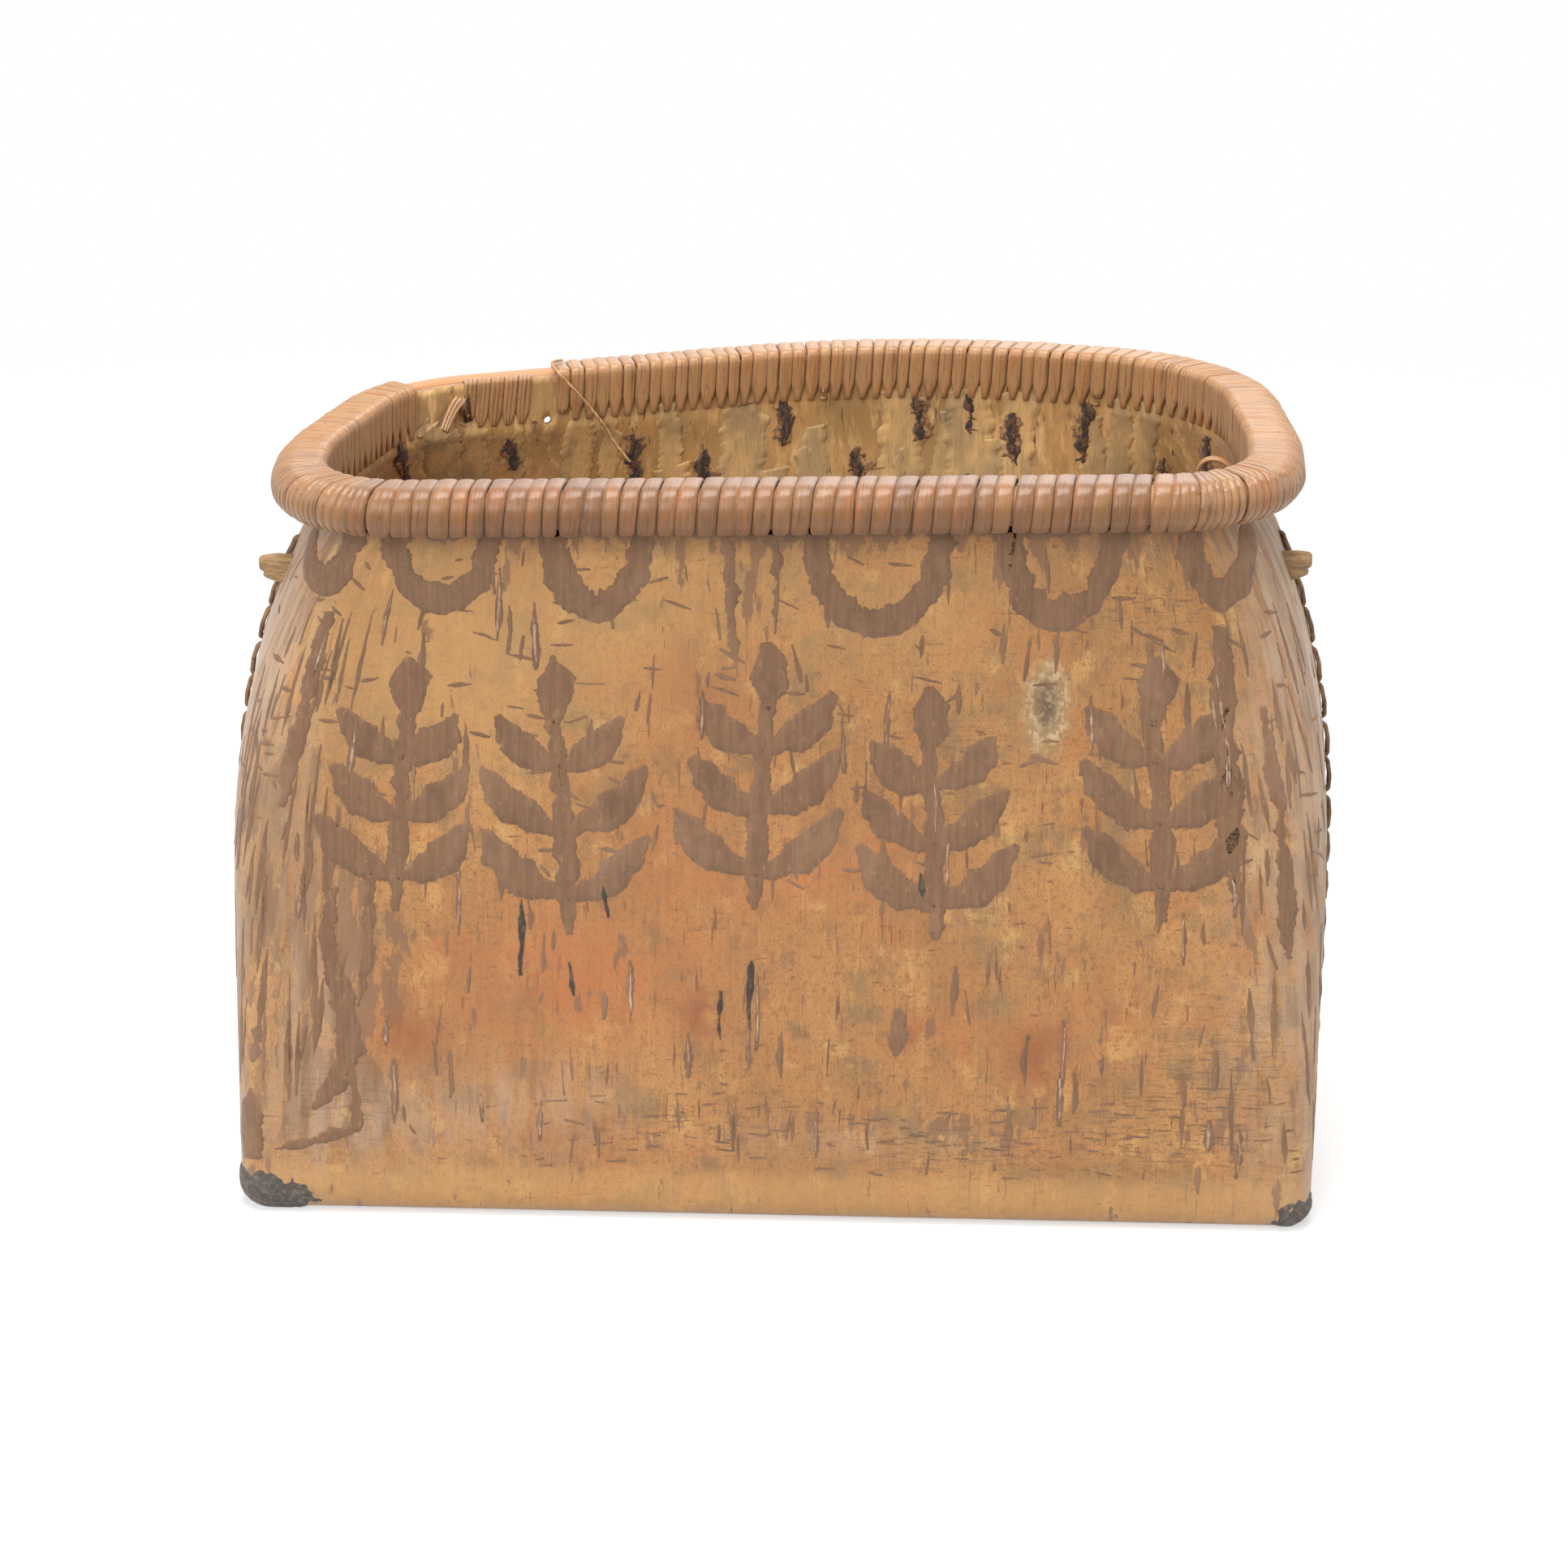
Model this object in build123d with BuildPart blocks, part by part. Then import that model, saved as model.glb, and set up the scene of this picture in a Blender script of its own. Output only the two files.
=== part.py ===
"""Oblong basket of folded birch bark with a root-lashed rim.

Lengths are in millimetres. +X runs along the mouth, +Y to the back, +Z up, and the
origin is in the middle of the underside. One sheet of bark is folded into the base, the
walls and the lapped ends. A bent-wood hoop grips its top edge from outside, and split
roots, one after another, are wound over the hoop and through a row of awl holes. A root
is sewn down and up again through each lapped end, and gum seals two bottom corners.
"""

import os
from math import atan2, cos, degrees, hypot, pi, radians, sin, tan

from build123d import *

os.makedirs("parts", exist_ok=True)

# Bark sheet
BARK = 1.8  # thickness of the sheet
FOLD = 6.5  # outer radius of the bend between base and walls
BELLY = 0.5  # how far the walls swell between base and mouth
LEAN_SHARE = 0.46  # share of the neck's height where the walls start to lean to the mouth
LEAN_POWER = 2.4  # a higher power puts more of the lean just under the rim

# Foot: outside of the bark where the walls rise from the base
FOOT_LENGTH = 294.6
FOOT_FRONT = 68.5  # from the middle of the basket to the front wall
FOOT_BACK = 64.0
FOOT_CORNER = 9.0
FOOT_END_SWELL = 1.0  # the ends stand out by this at the cut edge of their lap
FOOT_BACK_SWELL = 1.5

# Mouth: middle of the bark's thickness
MOUTH_LENGTH = FOOT_LENGTH - 46.0
MOUTH_SHIFT = 1.1  # the mouth sits this far to the right of the foot
MOUTH_FRONT = FOOT_FRONT + 0.7
MOUTH_BACK = FOOT_BACK - 23.0  # to the back corners, on average
MOUTH_BACK_SKEW = 7.0  # the right back corner is further out by this, the left one less
MOUTH_END_SWELL = 1.6
MOUTH_BACK_DRAW = 9.8  # each back corner is drawn in along X by this
MOUTH_APEX = (0.105 * FOOT_LENGTH, FOOT_BACK + 13.4)  # the deepest point of the back
APEX_RADIUS = 150.0
MOUTH_FRONT_CORNER = 26.0
MOUTH_BACK_CORNERS = (54.0, 38.0)  # right, left
END_RADIUS = 80.0  # rounds the ends of the rim

# Laps: the front wall's flaps cover the back wall's at both ends
LAP = 1.8  # step at the cut edge
LAP_OVERLAP = 12.0
RIGHT_CUT = (-6.0, 42.5 - FOOT_FRONT)  # place in depth of the cut edge, at foot and mouth
LEFT_CUT = (4.0, 41.5 - FOOT_FRONT)

# Rim, in a cut across it: outward from the bark's middle, and up from the rim line
RIM_HEIGHT = 206.3
RIM_TILT = 1.5  # degrees; the right end is higher
NECK_DROP = 10.5  # the bark stands straight from this far below the rim line
BARK_TOP = 4.4
HOOP_THICKNESS = 9.2
HOOP_HEIGHT = 10.2
HOOP_GAP = 1.3  # from the bark to the hoop
HOOP_ROUND = 4.9  # outer edges
HOOP_EASE = 2.0  # inner edges
SCARF_LENGTH = 40.0
SCARF_GAP = 0.4
SCARF_PLACE = 0.36  # share of the way round, on the front

# Root lashing over the hoop
ROOT = 1.3  # thickness of a split root
ROOT_CROWN = 0.62  # width of its rounded back, as a share of its flat
SNUG = 0.3  # clearance where pieces lie on each other
ROOT_COUNT = 7
TURNS = 20  # turns of one root
BARE_PLACES = 11  # awl holes along the bare stretch of hoop
BARE_END = -0.224 * FOOT_LENGTH  # that stretch ends here along X, on the left of the back
CROWDING = 0.15  # the turns lie closer at the back and wider at the front
FRONT_SHARE = 0.42  # of the way round, where they lie widest
TURN_GAP = 0.55  # between neighbouring turns
NECK_WIDTH = 1.8  # a turn draws in to this where it goes through the bark
POINT_LENGTH = 2.2  # over this much of its length
AWL_DROP = 8.2  # of the awl holes below the rim line
AWL_ROOM = 0.75  # round a root in its awl hole

# Under-lashing round the bark's edge alone, left where the hoop is bare
UNDER_ROOT = 0.75
UNDER_PLACE = 2  # first place, counted from the end of the bare stretch
UNDER_TURNS = 5
TAIL_REACH = 3.6  # how far its broken end stands into the basket

# End seams
STITCHES = 16
SEAM_START = 14.0  # height of the lowest hole
SEAM_STOP = 9.0  # from the highest hole up to the neck
SEAM_INSET = 6.0  # from the cut edge of the lap
SEAM_TAIL = 5.0  # both ends of the root hang this far below the lowest hole, inside
STITCH_WIDTH = 4.2
STITCH_NECK = 1.7
STITCH = 1.2  # thickness
STITCH_RISE = 0.4  # clearance under the middle of a stitch
STITCH_SLANT = 0.7  # a strand climbs twice this in its hole
STITCH_SHOULDER = 3.4  # from the middle of the hole to where a stitch has its full width
STRAND_GAP = 0.6  # between the strand that goes up and the one that comes down

# Hide thongs
THONG = 2.0  # thickness
THONG_WIDTH = 7.0
THONG_DROP = 15.8  # below the neck
THONG_DEPTH = 27.5 - FOOT_FRONT  # place in depth
THONG_OUT = 8.5
THONG_IN = 9.0
THONG_ROOM = 0.3  # round it in its slit

# Gum on two bottom corners
GUM = 1.0
GUM_REACH = 11.0  # past the rounding of the left corner
GUM_HEIGHT = 8.5
SMALL_GUM_REACH = 4.0  # past the rounding of the right corner
SMALL_GUM_HEIGHT = 8.0

# Frayed fibre that hangs from the end of the lashing
FIBRE = 0.8

FOLD_ANGLES = (0, pi / 6, pi / 3, pi / 2)  # steps of the quarter round
CORNER_FLATS = 6  # the bark bends round each upright corner in these
NECK_HEIGHT = RIM_HEIGHT - NECK_DROP
LEAN_START = LEAN_SHARE * NECK_HEIGHT
LEAN_STEPS = (0.0, 0.36, 0.61, 0.83, 1.0)  # the leaning walls are straight between these shares
STATIONS = [LEAN_START + share * (NECK_HEIGHT - LEAN_START) for share in LEAN_STEPS]
HOOP_IN = BARK / 2 + HOOP_GAP
STITCH_PITCH = (NECK_HEIGHT - SEAM_STOP - SEAM_START) / STITCHES
THONG_HEIGHT = NECK_HEIGHT - THONG_DROP


def blend(foot, mouth, share):
    return foot + (mouth - foot) * share


def lean(height):
    """Share of the way from foot to mouth: 0 up to LEAN_START and 1 at the neck."""
    rise = max(0.0, (height - LEAN_START) / (NECK_HEIGHT - LEAN_START))
    low = max(step for step in LEAN_STEPS[:-1] if step <= rise)
    high = min(step for step in LEAN_STEPS if step > low)
    return blend(low**LEAN_POWER, high**LEAN_POWER, (rise - low) / (high - low))


def tilted(height):
    """Plane of a girth, which tips to the rim's tilt as it rises."""
    tip = radians(RIM_TILT) * min(1.0, height / NECK_HEIGHT) ** 2
    return Plane(origin=(0, 0, height), x_dir=(cos(tip), 0, sin(tip)), z_dir=(-sin(tip), 0, cos(tip)))


def girth(height, inset=0.0):
    """Corner points of the bark's outer face at a height, without its laps.

    They go round from the front left corner against the clock: front left, front right,
    right end, back right, back apex, back left, left end. The inset moves each side in.
    """
    share = lean(height)
    out = BELLY * sin(pi * height / NECK_HEIGHT) - inset
    half_bark = BARK / 2
    middle = blend(0.0, MOUTH_SHIFT, share)
    half = blend(FOOT_LENGTH, MOUTH_LENGTH + BARK, share) / 2 + out
    front = -blend(FOOT_FRONT, MOUTH_FRONT + half_bark, share) - out
    draw = blend(0.0, MOUTH_BACK_DRAW, share)
    skew = blend(0.0, MOUTH_BACK_SKEW, share)
    back = blend(FOOT_BACK, MOUTH_BACK + half_bark, share) + out
    end_swell = blend(FOOT_END_SWELL, MOUTH_END_SWELL, share)
    apex_y = blend(FOOT_BACK + FOOT_BACK_SWELL, MOUTH_APEX[1] + half_bark, share) + out
    return [
        (middle - half, front),
        (middle + half, front),
        (middle + half + end_swell, cut_depth(RIGHT_CUT, height)),
        (middle + half - draw / 2, back + skew),
        (MOUTH_APEX[0], apex_y),
        (middle - half + draw * 1.5, back - skew),
        (middle - half - end_swell, cut_depth(LEFT_CUT, height)),
    ]


def cut_depth(cut, height):
    """Place in depth of a lap's cut edge, which runs straight from foot to mouth."""
    return blend(cut[0], cut[1], height / NECK_HEIGHT)


def corner_radii(height, inset=0.0):
    """Radii for the front corners, the right and left back corners and the back apex."""
    share = (height / NECK_HEIGHT) ** 1.5
    front = blend(FOOT_CORNER, MOUTH_FRONT_CORNER, share) - inset
    right, left = (blend(FOOT_CORNER, radius, share) - inset for radius in MOUTH_BACK_CORNERS)
    return front, right, left, APEX_RADIUS


def lapped_girth(height, inset=0.0, inside=False):
    """Girth with a step at each end: outside at the cut edge, inside under the overlap."""
    front_left, front_right, right, back_right, apex, back_left, left = girth(height, inset)
    shift = -LAP_OVERLAP if inside else 0.0
    front, right_corner, left_corner, apex_radius = corner_radii(height, inset)
    points = [
        front_left,
        front_right,
        (right[0] + LAP, right[1] + shift),
        (right[0], right[1] + shift),
        back_right,
        apex,
        back_left,
        (left[0], left[1] + shift),
        (left[0] - LAP, left[1] + shift),
    ]
    radii = [front, front, 0, 0, right_corner, apex_radius, left_corner, 0, 0]
    return points, radii


def smooth_girth(height, inset=0.0):
    """Girth with rounded ends and no laps, as it is at the rim."""
    front, right_corner, left_corner, apex_radius = corner_radii(height, inset)
    radii = [front, front, END_RADIUS, right_corner, apex_radius, left_corner, END_RADIUS]
    return girth(height, inset), radii


def flattened(points, radii):
    """Points of an outline, with each round corner cut into flats."""
    ring = []
    for before, corner, after, radius in zip([points[-1], *points], points, [*points[1:], points[0]], radii):
        corner = Vector(*corner)
        if radius == 0:
            ring.append(corner)
            continue
        back, ahead = (Vector(*before) - corner).normalized(), (Vector(*after) - corner).normalized()
        half = radians(back.get_angle(ahead)) / 2
        centre = corner + (back + ahead).normalized() * (radius / sin(half))
        spoke = corner + back * (radius / tan(half)) - centre
        turn = (180 - 2 * degrees(half)) / CORNER_FLATS
        ring += [centre + spoke.rotate(Axis.Z, turn * step) for step in range(CORNER_FLATS + 1)]
    return ring


def faceted(rings):
    """Solid of flat facets through rings of points, all with the same number of points."""
    faces = [Face(Wire.make_polygon(ring)) for ring in (rings[0], rings[-1])]
    for one, other in zip(rings, rings[1:]):
        for a, b, c, d in zip(one, one[1:] + one[:1], other[1:] + other[:1], other):
            faces += [Face(Wire.make_polygon([a, b, c])), Face(Wire.make_polygon([a, c, d]))]
    return Solid(Shell(faces))


def bark_form(inset, inside=False):
    """Solid inside the bark's outer face, or the hollow inside its inner one.

    A quarter round of the fold comes first, then the walls, then a straight band that
    the rim grips.
    """
    bend = FOLD - inset
    levels = [(inset + bend * (1 - cos(angle)), inset + bend * (1 - sin(angle))) for angle in FOLD_ANGLES]
    levels += [(height, inset) for height in STATIONS]
    rings = []
    for height, shrink in levels:
        ring = flattened(*lapped_girth(height, shrink, inside))
        rings.append([tilted(height).from_local_coords(point) for point in ring])
    with BuildPart() as form:
        add(faceted(rings))
        top = BARK_TOP + NECK_DROP + (1.0 if inside else 0.0)
        with BuildSketch(tilted(NECK_HEIGHT)):
            with BuildLine():
                points, radii = smooth_girth(NECK_HEIGHT, inset)
                FilletPolyline(*points, radius=radii, close=True)
            make_face()
        extrude(amount=top)
    return form.part


def strip(sections):
    """Strip through four-sided sections.

    A section is (centre, across, outward, width, thickness, crown): the outward face is
    narrower than the inward one by the crown.
    """
    rings = []
    for centre, across, outward, width, thickness, crown in sections:
        side = across.normalized() * (width / 2)
        up = (outward - side * (outward.dot(side) / side.dot(side))).normalized() * (thickness / 2)
        ring = [centre - side - up, centre + side - up, centre + side * crown + up, centre - side * crown + up]
        rings.append(ring)
    return faceted(rings)


# Rim line: the middle of the bark's thickness, half-way up the rim
rim_plane = tilted(NECK_HEIGHT).offset(NECK_DROP)
rim_points, rim_radii = smooth_girth(NECK_HEIGHT, BARK / 2)
with BuildLine(rim_plane) as rim_builder:
    FilletPolyline(*rim_points, radius=rim_radii, close=True)
rim_line = rim_builder.wire()
places = BARE_PLACES + ROOT_COUNT * TURNS
back_left, apex = Vector(*rim_points[5]), Vector(*rim_points[4])
bare_share = (BARE_END - back_left.X) / (apex.X - back_left.X)
bare_end = rim_plane.from_local_coords(back_left + (apex - back_left) * bare_share)
rim_start = rim_line.param_at_point(bare_end) * rim_line.length


def rim_spot(place, outward, up):
    """Point beside the rim line, and the line's direction there.

    Places are counted from the end of the bare stretch, over that stretch, down the left
    end and on round. They crowd at the back by a sine of the way round.
    """
    share = place / places
    swing = sin(2 * pi * (share - FRONT_SHARE)) + sin(2 * pi * FRONT_SHARE)
    length = rim_start + rim_line.length * (share + CROWDING / (2 * pi) * swing)
    fraction = (length / rim_line.length) % 1.0
    along = rim_line.tangent_at(fraction)
    side = along.cross(rim_plane.z_dir)
    return rim_line.position_at(fraction) + side * outward + rim_plane.z_dir * up, along


def rounded_side(clearance):
    """Outer side of the hoop in a cut across the rim, from below to above, in flats."""
    middle = HOOP_IN + HOOP_THICKNESS - HOOP_ROUND
    reach = (HOOP_ROUND + clearance) / cos(pi / 8)
    flat = HOOP_HEIGHT / 2 - HOOP_ROUND
    steps = [(-3, -flat), (-1, -flat), (1, flat), (3, flat)]
    return [(middle + reach * cos(n * pi / 8), lift + reach * sin(n * pi / 8)) for n, lift in steps]


def hoop_profile():
    """The hoop in a cut across the rim."""
    eased = [(HOOP_IN, HOOP_HEIGHT / 2 - HOOP_EASE), (HOOP_IN + HOOP_EASE, HOOP_HEIGHT / 2)]
    return [*((outward, -up) for outward, up in eased), *rounded_side(0.0), *eased[::-1]]


def turn_profile():
    """One turn in a cut across the rim: from the awl hole out, round the hoop and back."""
    lie = SNUG + ROOT / 2
    inner = -BARK / 2 - lie
    return [
        (inner, -AWL_DROP),
        *rounded_side(lie),
        (inner, HOOP_HEIGHT / 2 + lie),
        (inner, POINT_LENGTH - AWL_DROP),
    ]


def under_profile():
    """One turn of the under-lashing, between the bark and the hoop."""
    lie = BARK / 2 + SNUG + UNDER_ROOT / 2
    top = BARK_TOP + SNUG + UNDER_ROOT / 2
    low = POINT_LENGTH - AWL_DROP
    return [(-lie, -AWL_DROP), (lie, -AWL_DROP), (lie, low), (lie, top), (-lie, top), (-lie, low)]


def wound(profile, first, turns, thickness, necks=1, tail=()):
    """Strip that winds round the rim, one place further with each turn.

    Each turn fills the room between the half-way lines to its neighbours, less the gap,
    except at the necks, which come first in the profile. The tail adds (place, outward,
    up) points after the last turn.
    """
    steps = [hypot(b[0] - a[0], b[1] - a[1]) for a, b in zip(profile, profile[1:] + profile[:1])]
    walked = [sum(steps[:index]) / sum(steps) for index in range(len(profile))]
    track = []
    for turn in range(turns):
        for index, ((outward, up), share) in enumerate(zip(profile, walked)):
            track.append((first + turn + share, outward, up, index < necks))
    track += [(first + turns - 1 + place, outward, up, False) for place, outward, up in tail]
    spans = [[rim_spot(place + half, outward, up)[0] for half in (-0.5, 0.5)] for place, outward, up, _ in track]
    spots = [(low + high) / 2 for low, high in spans]
    ends = [spots[0] * 2 - spots[1], spots[-1] * 2 - spots[-2]]
    sections = []
    rows = zip(track, spans, [ends[0], *spots], spots, [*spots[1:], ends[1]])
    for (_, _, _, neck), (low, high), before, spot, after in rows:
        travel = (spot - before).normalized() + (after - spot).normalized()
        mitre = 2 / travel.length
        across = high - low
        width = NECK_WIDTH if neck else across.length - TURN_GAP
        outside = across.cross(travel)
        sections.append((spot, across, outside, width, thickness * mitre, ROOT_CROWN))
    return sections


def least_gap(sections, per_turn):
    """Least distance between the facing edges of neighbouring turns."""
    gaps = []
    for one, other in zip(sections, sections[per_turn:]):
        near = one[0] + one[1].normalized() * (one[3] / 2)
        far = other[0] - other[1].normalized() * (other[3] / 2)
        gaps.append((far - near).length)
    return min(gaps)


def broken_tail():
    """End of the under-lashing, torn off and standing into the basket."""
    lie = BARK / 2 + SNUG + UNDER_ROOT / 2
    return [(1.0, -lie, 1.0), (1.9, -lie - TAIL_REACH * 0.4, -3.0), (3.4, -lie - TAIL_REACH, -7.0)]


def end_wall(right, height, depth):
    """Outer and inner face of an end at a height and depth: their places along X.

    Both faces are flat there: the outer one from the front corner to the cut edge, and
    the inner one from the step under the overlap to the back corner.
    """
    outer, _ = lapped_girth(height)
    inner, _ = lapped_girth(height, BARK, inside=True)
    if right:
        runs = ((outer[1], outer[2]), (inner[3], inner[4]))
    else:
        runs = ((outer[0], outer[8]), (inner[7], inner[6]))
    return [a[0] + (b[0] - a[0]) * (depth - a[1]) / (b[1] - a[1]) for a, b in runs]


def end_spot(right, height, depth, rise, inside=False):
    """Point off an end wall: outside its outer face, or inside its inner one."""
    faces = end_wall(right, height, depth)
    sign = 1 if right else -1
    along = faces[1] - sign * rise if inside else faces[0] + sign * rise
    return tilted(height).from_local_coords(Vector(along, depth, 0))


def seam_depth(right, height):
    """Place in depth of the row of holes that sews a lap."""
    return cut_depth(RIGHT_CUT if right else LEFT_CUT, height) - SEAM_INSET


def stitched(right):
    """Root that sews a lap: up in running stitches, and down again in the gaps between.

    Each strand lies outside on every second stitch and inside on the next, so together
    they make an unbroken line of stitches on both faces.
    """
    apart = (STITCH_NECK + STRAND_GAP) / 2
    lie = SNUG + STITCH / 2
    tail = [(SEAM_START - SEAM_TAIL, lie + 1.5), (SEAM_START - STITCH_SLANT, lie)]
    track = [(height, -apart, rise, True, STITCH_NECK) for height, rise in tail]
    for way in (1, -1):
        for gap in range(STITCHES)[::way]:
            inside = (gap % 2 == 1) == (way == 1)
            low = SEAM_START + gap * STITCH_PITCH
            marks = [
                (low + STITCH_SLANT, -apart * way, lie, STITCH_NECK),
                (low + STITCH_SHOULDER, 0.0, lie + STITCH_RISE, STITCH_WIDTH),
                (low + STITCH_PITCH - STITCH_SHOULDER, 0.0, lie + STITCH_RISE, STITCH_WIDTH),
                (low + STITCH_PITCH - STITCH_SLANT, -apart * way, lie, STITCH_NECK),
            ]
            for height, shift, rise, width in marks[::way]:
                track.append((height, shift, rise, inside, width))
    track += [(height, apart, rise, True, STITCH_NECK) for height, rise in tail[::-1]]
    spots = [
        end_spot(right, height, seam_depth(right, height) + shift, rise, inside)
        for height, shift, rise, inside, _ in track
    ]
    ends = [spots[0] * 2 - spots[1], spots[-1] * 2 - spots[-2]]
    sections = []
    for mark, before, spot, after in zip(track, [ends[0], *spots], spots, [*spots[1:], ends[1]]):
        travel = (spot - before).normalized() + (after - spot).normalized()
        across = Vector(0, 1, 0)
        outside = travel.cross(across)
        sections.append((spot, across, outside, mark[4], STITCH * min(1.4, 2 / travel.length), 0.7))
    return sections


def facing(centre, x_dir, outward):
    """Plane of a hole through the bark: x_dir along its width."""
    return Plane(origin=centre, x_dir=x_dir, z_dir=outward)


(neck_out, neck_up), (first_out, first_up) = turn_profile()[:2]
neck_slope = (first_up - neck_up) / (first_out - neck_out)
awl_lift = -neck_slope * neck_out
awl_height = ROOT + neck_slope * BARK + 2 * AWL_ROOM
awl_planes = []
for place in range(places):
    centre, along = rim_spot(place, 0.0, awl_lift - AWL_DROP)
    awl_planes.append(facing(centre, along, along.cross(rim_plane.z_dir)))
seam_planes = []
for right in (True, False):
    for index in range(STITCHES + 1):
        height = SEAM_START + index * STITCH_PITCH
        depth = seam_depth(right, height)
        outside = end_spot(right, height, depth, 0.0)
        within = end_spot(right, height, depth, 0.0, inside=True)
        seam_planes.append(facing((outside + within) / 2, Vector(0, 1, 0), outside - within))
slit_planes = []
for right in (True, False):
    outside = end_spot(right, THONG_HEIGHT, THONG_DEPTH, 0.0)
    within = end_spot(right, THONG_HEIGHT, THONG_DEPTH, 0.0, inside=True)
    slit_planes.append(facing((outside + within) / 2, Vector(0, 1, 0), outside - within))

bark_outside = bark_form(0.0)
bark_hollow = bark_form(BARK, inside=True)

with BuildPart() as bark_sheet:
    add(bark_outside)
    add(bark_hollow, mode=Mode.SUBTRACT)
    with Locations(*awl_planes):
        Box(NECK_WIDTH + 2 * AWL_ROOM, awl_height, BARK * 3, mode=Mode.SUBTRACT)
    with Locations(*seam_planes):
        Box(
            2 * (STITCH_NECK + AWL_ROOM) + STRAND_GAP,
            STITCH + 2 * (STITCH_SLANT + AWL_ROOM),
            (BARK + LAP) * 2.5,
            mode=Mode.SUBTRACT,
        )
    with Locations(*slit_planes):
        Box(THONG + 2 * THONG_ROOM, THONG_WIDTH + 2 * THONG_ROOM, (BARK + LAP) * 2.5, mode=Mode.SUBTRACT)

# Bent-wood hoop: rounded outside, eased inside, closed by a scarf joint
scarf_spot, scarf_along = rim_spot(places * SCARF_PLACE, HOOP_IN + HOOP_THICKNESS / 2, 0.0)
scarf_slant = degrees(atan2(HOOP_THICKNESS, SCARF_LENGTH))
hoop_side = (rim_line % 0).cross(rim_plane.z_dir)
with BuildPart() as rim_hoop:
    with BuildSketch(Plane(origin=rim_line @ 0, x_dir=hoop_side, z_dir=-(rim_line % 0))):
        with BuildLine():
            Polyline(*hoop_profile(), close=True)
        make_face()
    sweep(path=rim_line)
    with Locations(facing(scarf_spot, scarf_along.rotate(Axis.Z, scarf_slant), rim_plane.z_dir)):
        Box(SCARF_LENGTH * 1.5, SCARF_GAP, HOOP_HEIGHT * 1.5, mode=Mode.SUBTRACT)

under_lashing = strip(wound(under_profile(), UNDER_PLACE, UNDER_TURNS, UNDER_ROOT, 2, broken_tail()))
rim_roots = []
for number in range(ROOT_COUNT):
    turns = wound(turn_profile(), BARE_PLACES + number * TURNS, TURNS, ROOT)
    rim_roots.append(strip(turns))
    print(f"rim root {number + 1}: least gap between turns {least_gap(turns, len(turn_profile())):.2f}")
seam_root_right = strip(stitched(right=True))
seam_root_left = strip(stitched(right=False))


def thong(right):
    """Hide thong through its slit: frayed and wider outside, a short tail inside."""
    stations = [
        (THONG_IN, True, -6.0, 0.8, 0.7),
        (THONG_IN * 0.5, True, -1.5, 1.0, 1.0),
        (0.0, True, 0.0, 1.0, 1.0),
        (0.0, False, 0.0, 1.0, 1.0),
        (THONG_OUT * 0.5, False, 1.0, 1.0, 1.0),
        (THONG_OUT, False, 3.0, 1.25, 0.6),
    ]
    sections = []
    for reach, inside, lift, wide, thick in stations:
        spot = end_spot(right, THONG_HEIGHT, THONG_DEPTH, reach, inside) + Vector(0, 0, lift)
        sections.append((spot, Vector(0, 0, 1), Vector(0, 1, 0), THONG_WIDTH * wide, THONG * thick, 1.0))
    return strip(sections)


def gum(right, reach, reach_up):
    """Smear of gum that wraps a front bottom corner, thinner towards its edges."""
    turns = [radians(angle) for angle in (15, 45, 75)]
    levels = [(FOLD * (1 - cos(angle)), FOLD * (1 - sin(angle))) for angle in FOLD_ANGLES[1:]]
    rings = []
    for height, shrink in [*levels, (reach_up, 0.0)]:
        points, radii = lapped_girth(height, shrink - SNUG)
        points = [Vector(*point) for point in points]
        corner, end, front = (points[1], points[2], points[0]) if right else (points[0], points[8], points[1])
        along, back = (front - corner).normalized(), (end - corner).normalized()
        thick = GUM * (1 - 0.5 * height / reach_up)
        run = radii[0] + GUM + reach * (1 - 0.8 * (height / reach_up) ** 2)
        middle = corner + (along + back) * radii[0]
        bends = [(back * cos(turn) + along * sin(turn)) / cos(turns[0]) for turn in turns]
        inner = [corner + along * run, *(middle - bend * radii[0] for bend in bends), corner + back * run]
        outer = [
            inner[0] - back * (thick * 0.4),
            *(middle - bend * (radii[0] + thick) for bend in bends),
            inner[-1] - along * (thick * 0.4),
        ]
        rings.append([tilted(height).from_local_coords(point) for point in [*inner, *outer[::-1]]])
    return faceted(rings)


thong_right, thong_left = thong(True), thong(False)
gum_left = gum(False, GUM_REACH, GUM_HEIGHT)
gum_right = gum(True, SMALL_GUM_REACH, SMALL_GUM_HEIGHT)

# Frayed fibre: out of the last turn, over the rim and down inside
fibre_marks = [
    (-0.5, 4.6, 7.6),
    (0.3, 2.2, 8.2),
    (0.6, -0.8, 8.0),
    (0.2, -3.6, 5.6),
    (-0.9, -4.2, 0.8),
    (-2.0, -4.0, -4.6),
    (-3.1, -4.4, -10.6),
    (-3.8, -3.6, -16.2),
    (-4.9, -4.2, -21.6),
]
fibre_route = [rim_spot(places + place, outward, up)[0] for place, outward, up in fibre_marks]


def route_radii(route):
    """Largest radius that each corner's two runs leave room for."""
    radii = []
    for before, corner, after in zip(route, route[1:], route[2:]):
        turn = (corner - before).get_angle(after - corner)
        shorter = min((corner - before).length, (after - corner).length)
        radii.append(0.45 * shorter / tan(radians(turn) / 2))
    return radii


fibre_radii = route_radii(fibre_route)
print("fibre radii", ", ".join(f"{radius:.1f}" for radius in fibre_radii))
with BuildPart() as loose_fibre:
    with BuildLine():
        fibre_path = FilletPolyline(*fibre_route, radius=fibre_radii)
    with BuildSketch(Plane(origin=fibre_path @ 0, z_dir=fibre_path % 0)):
        RegularPolygon(FIBRE / 2, 6)
    sweep()
print(f"fibre length {fibre_path.length:.1f}")

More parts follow.
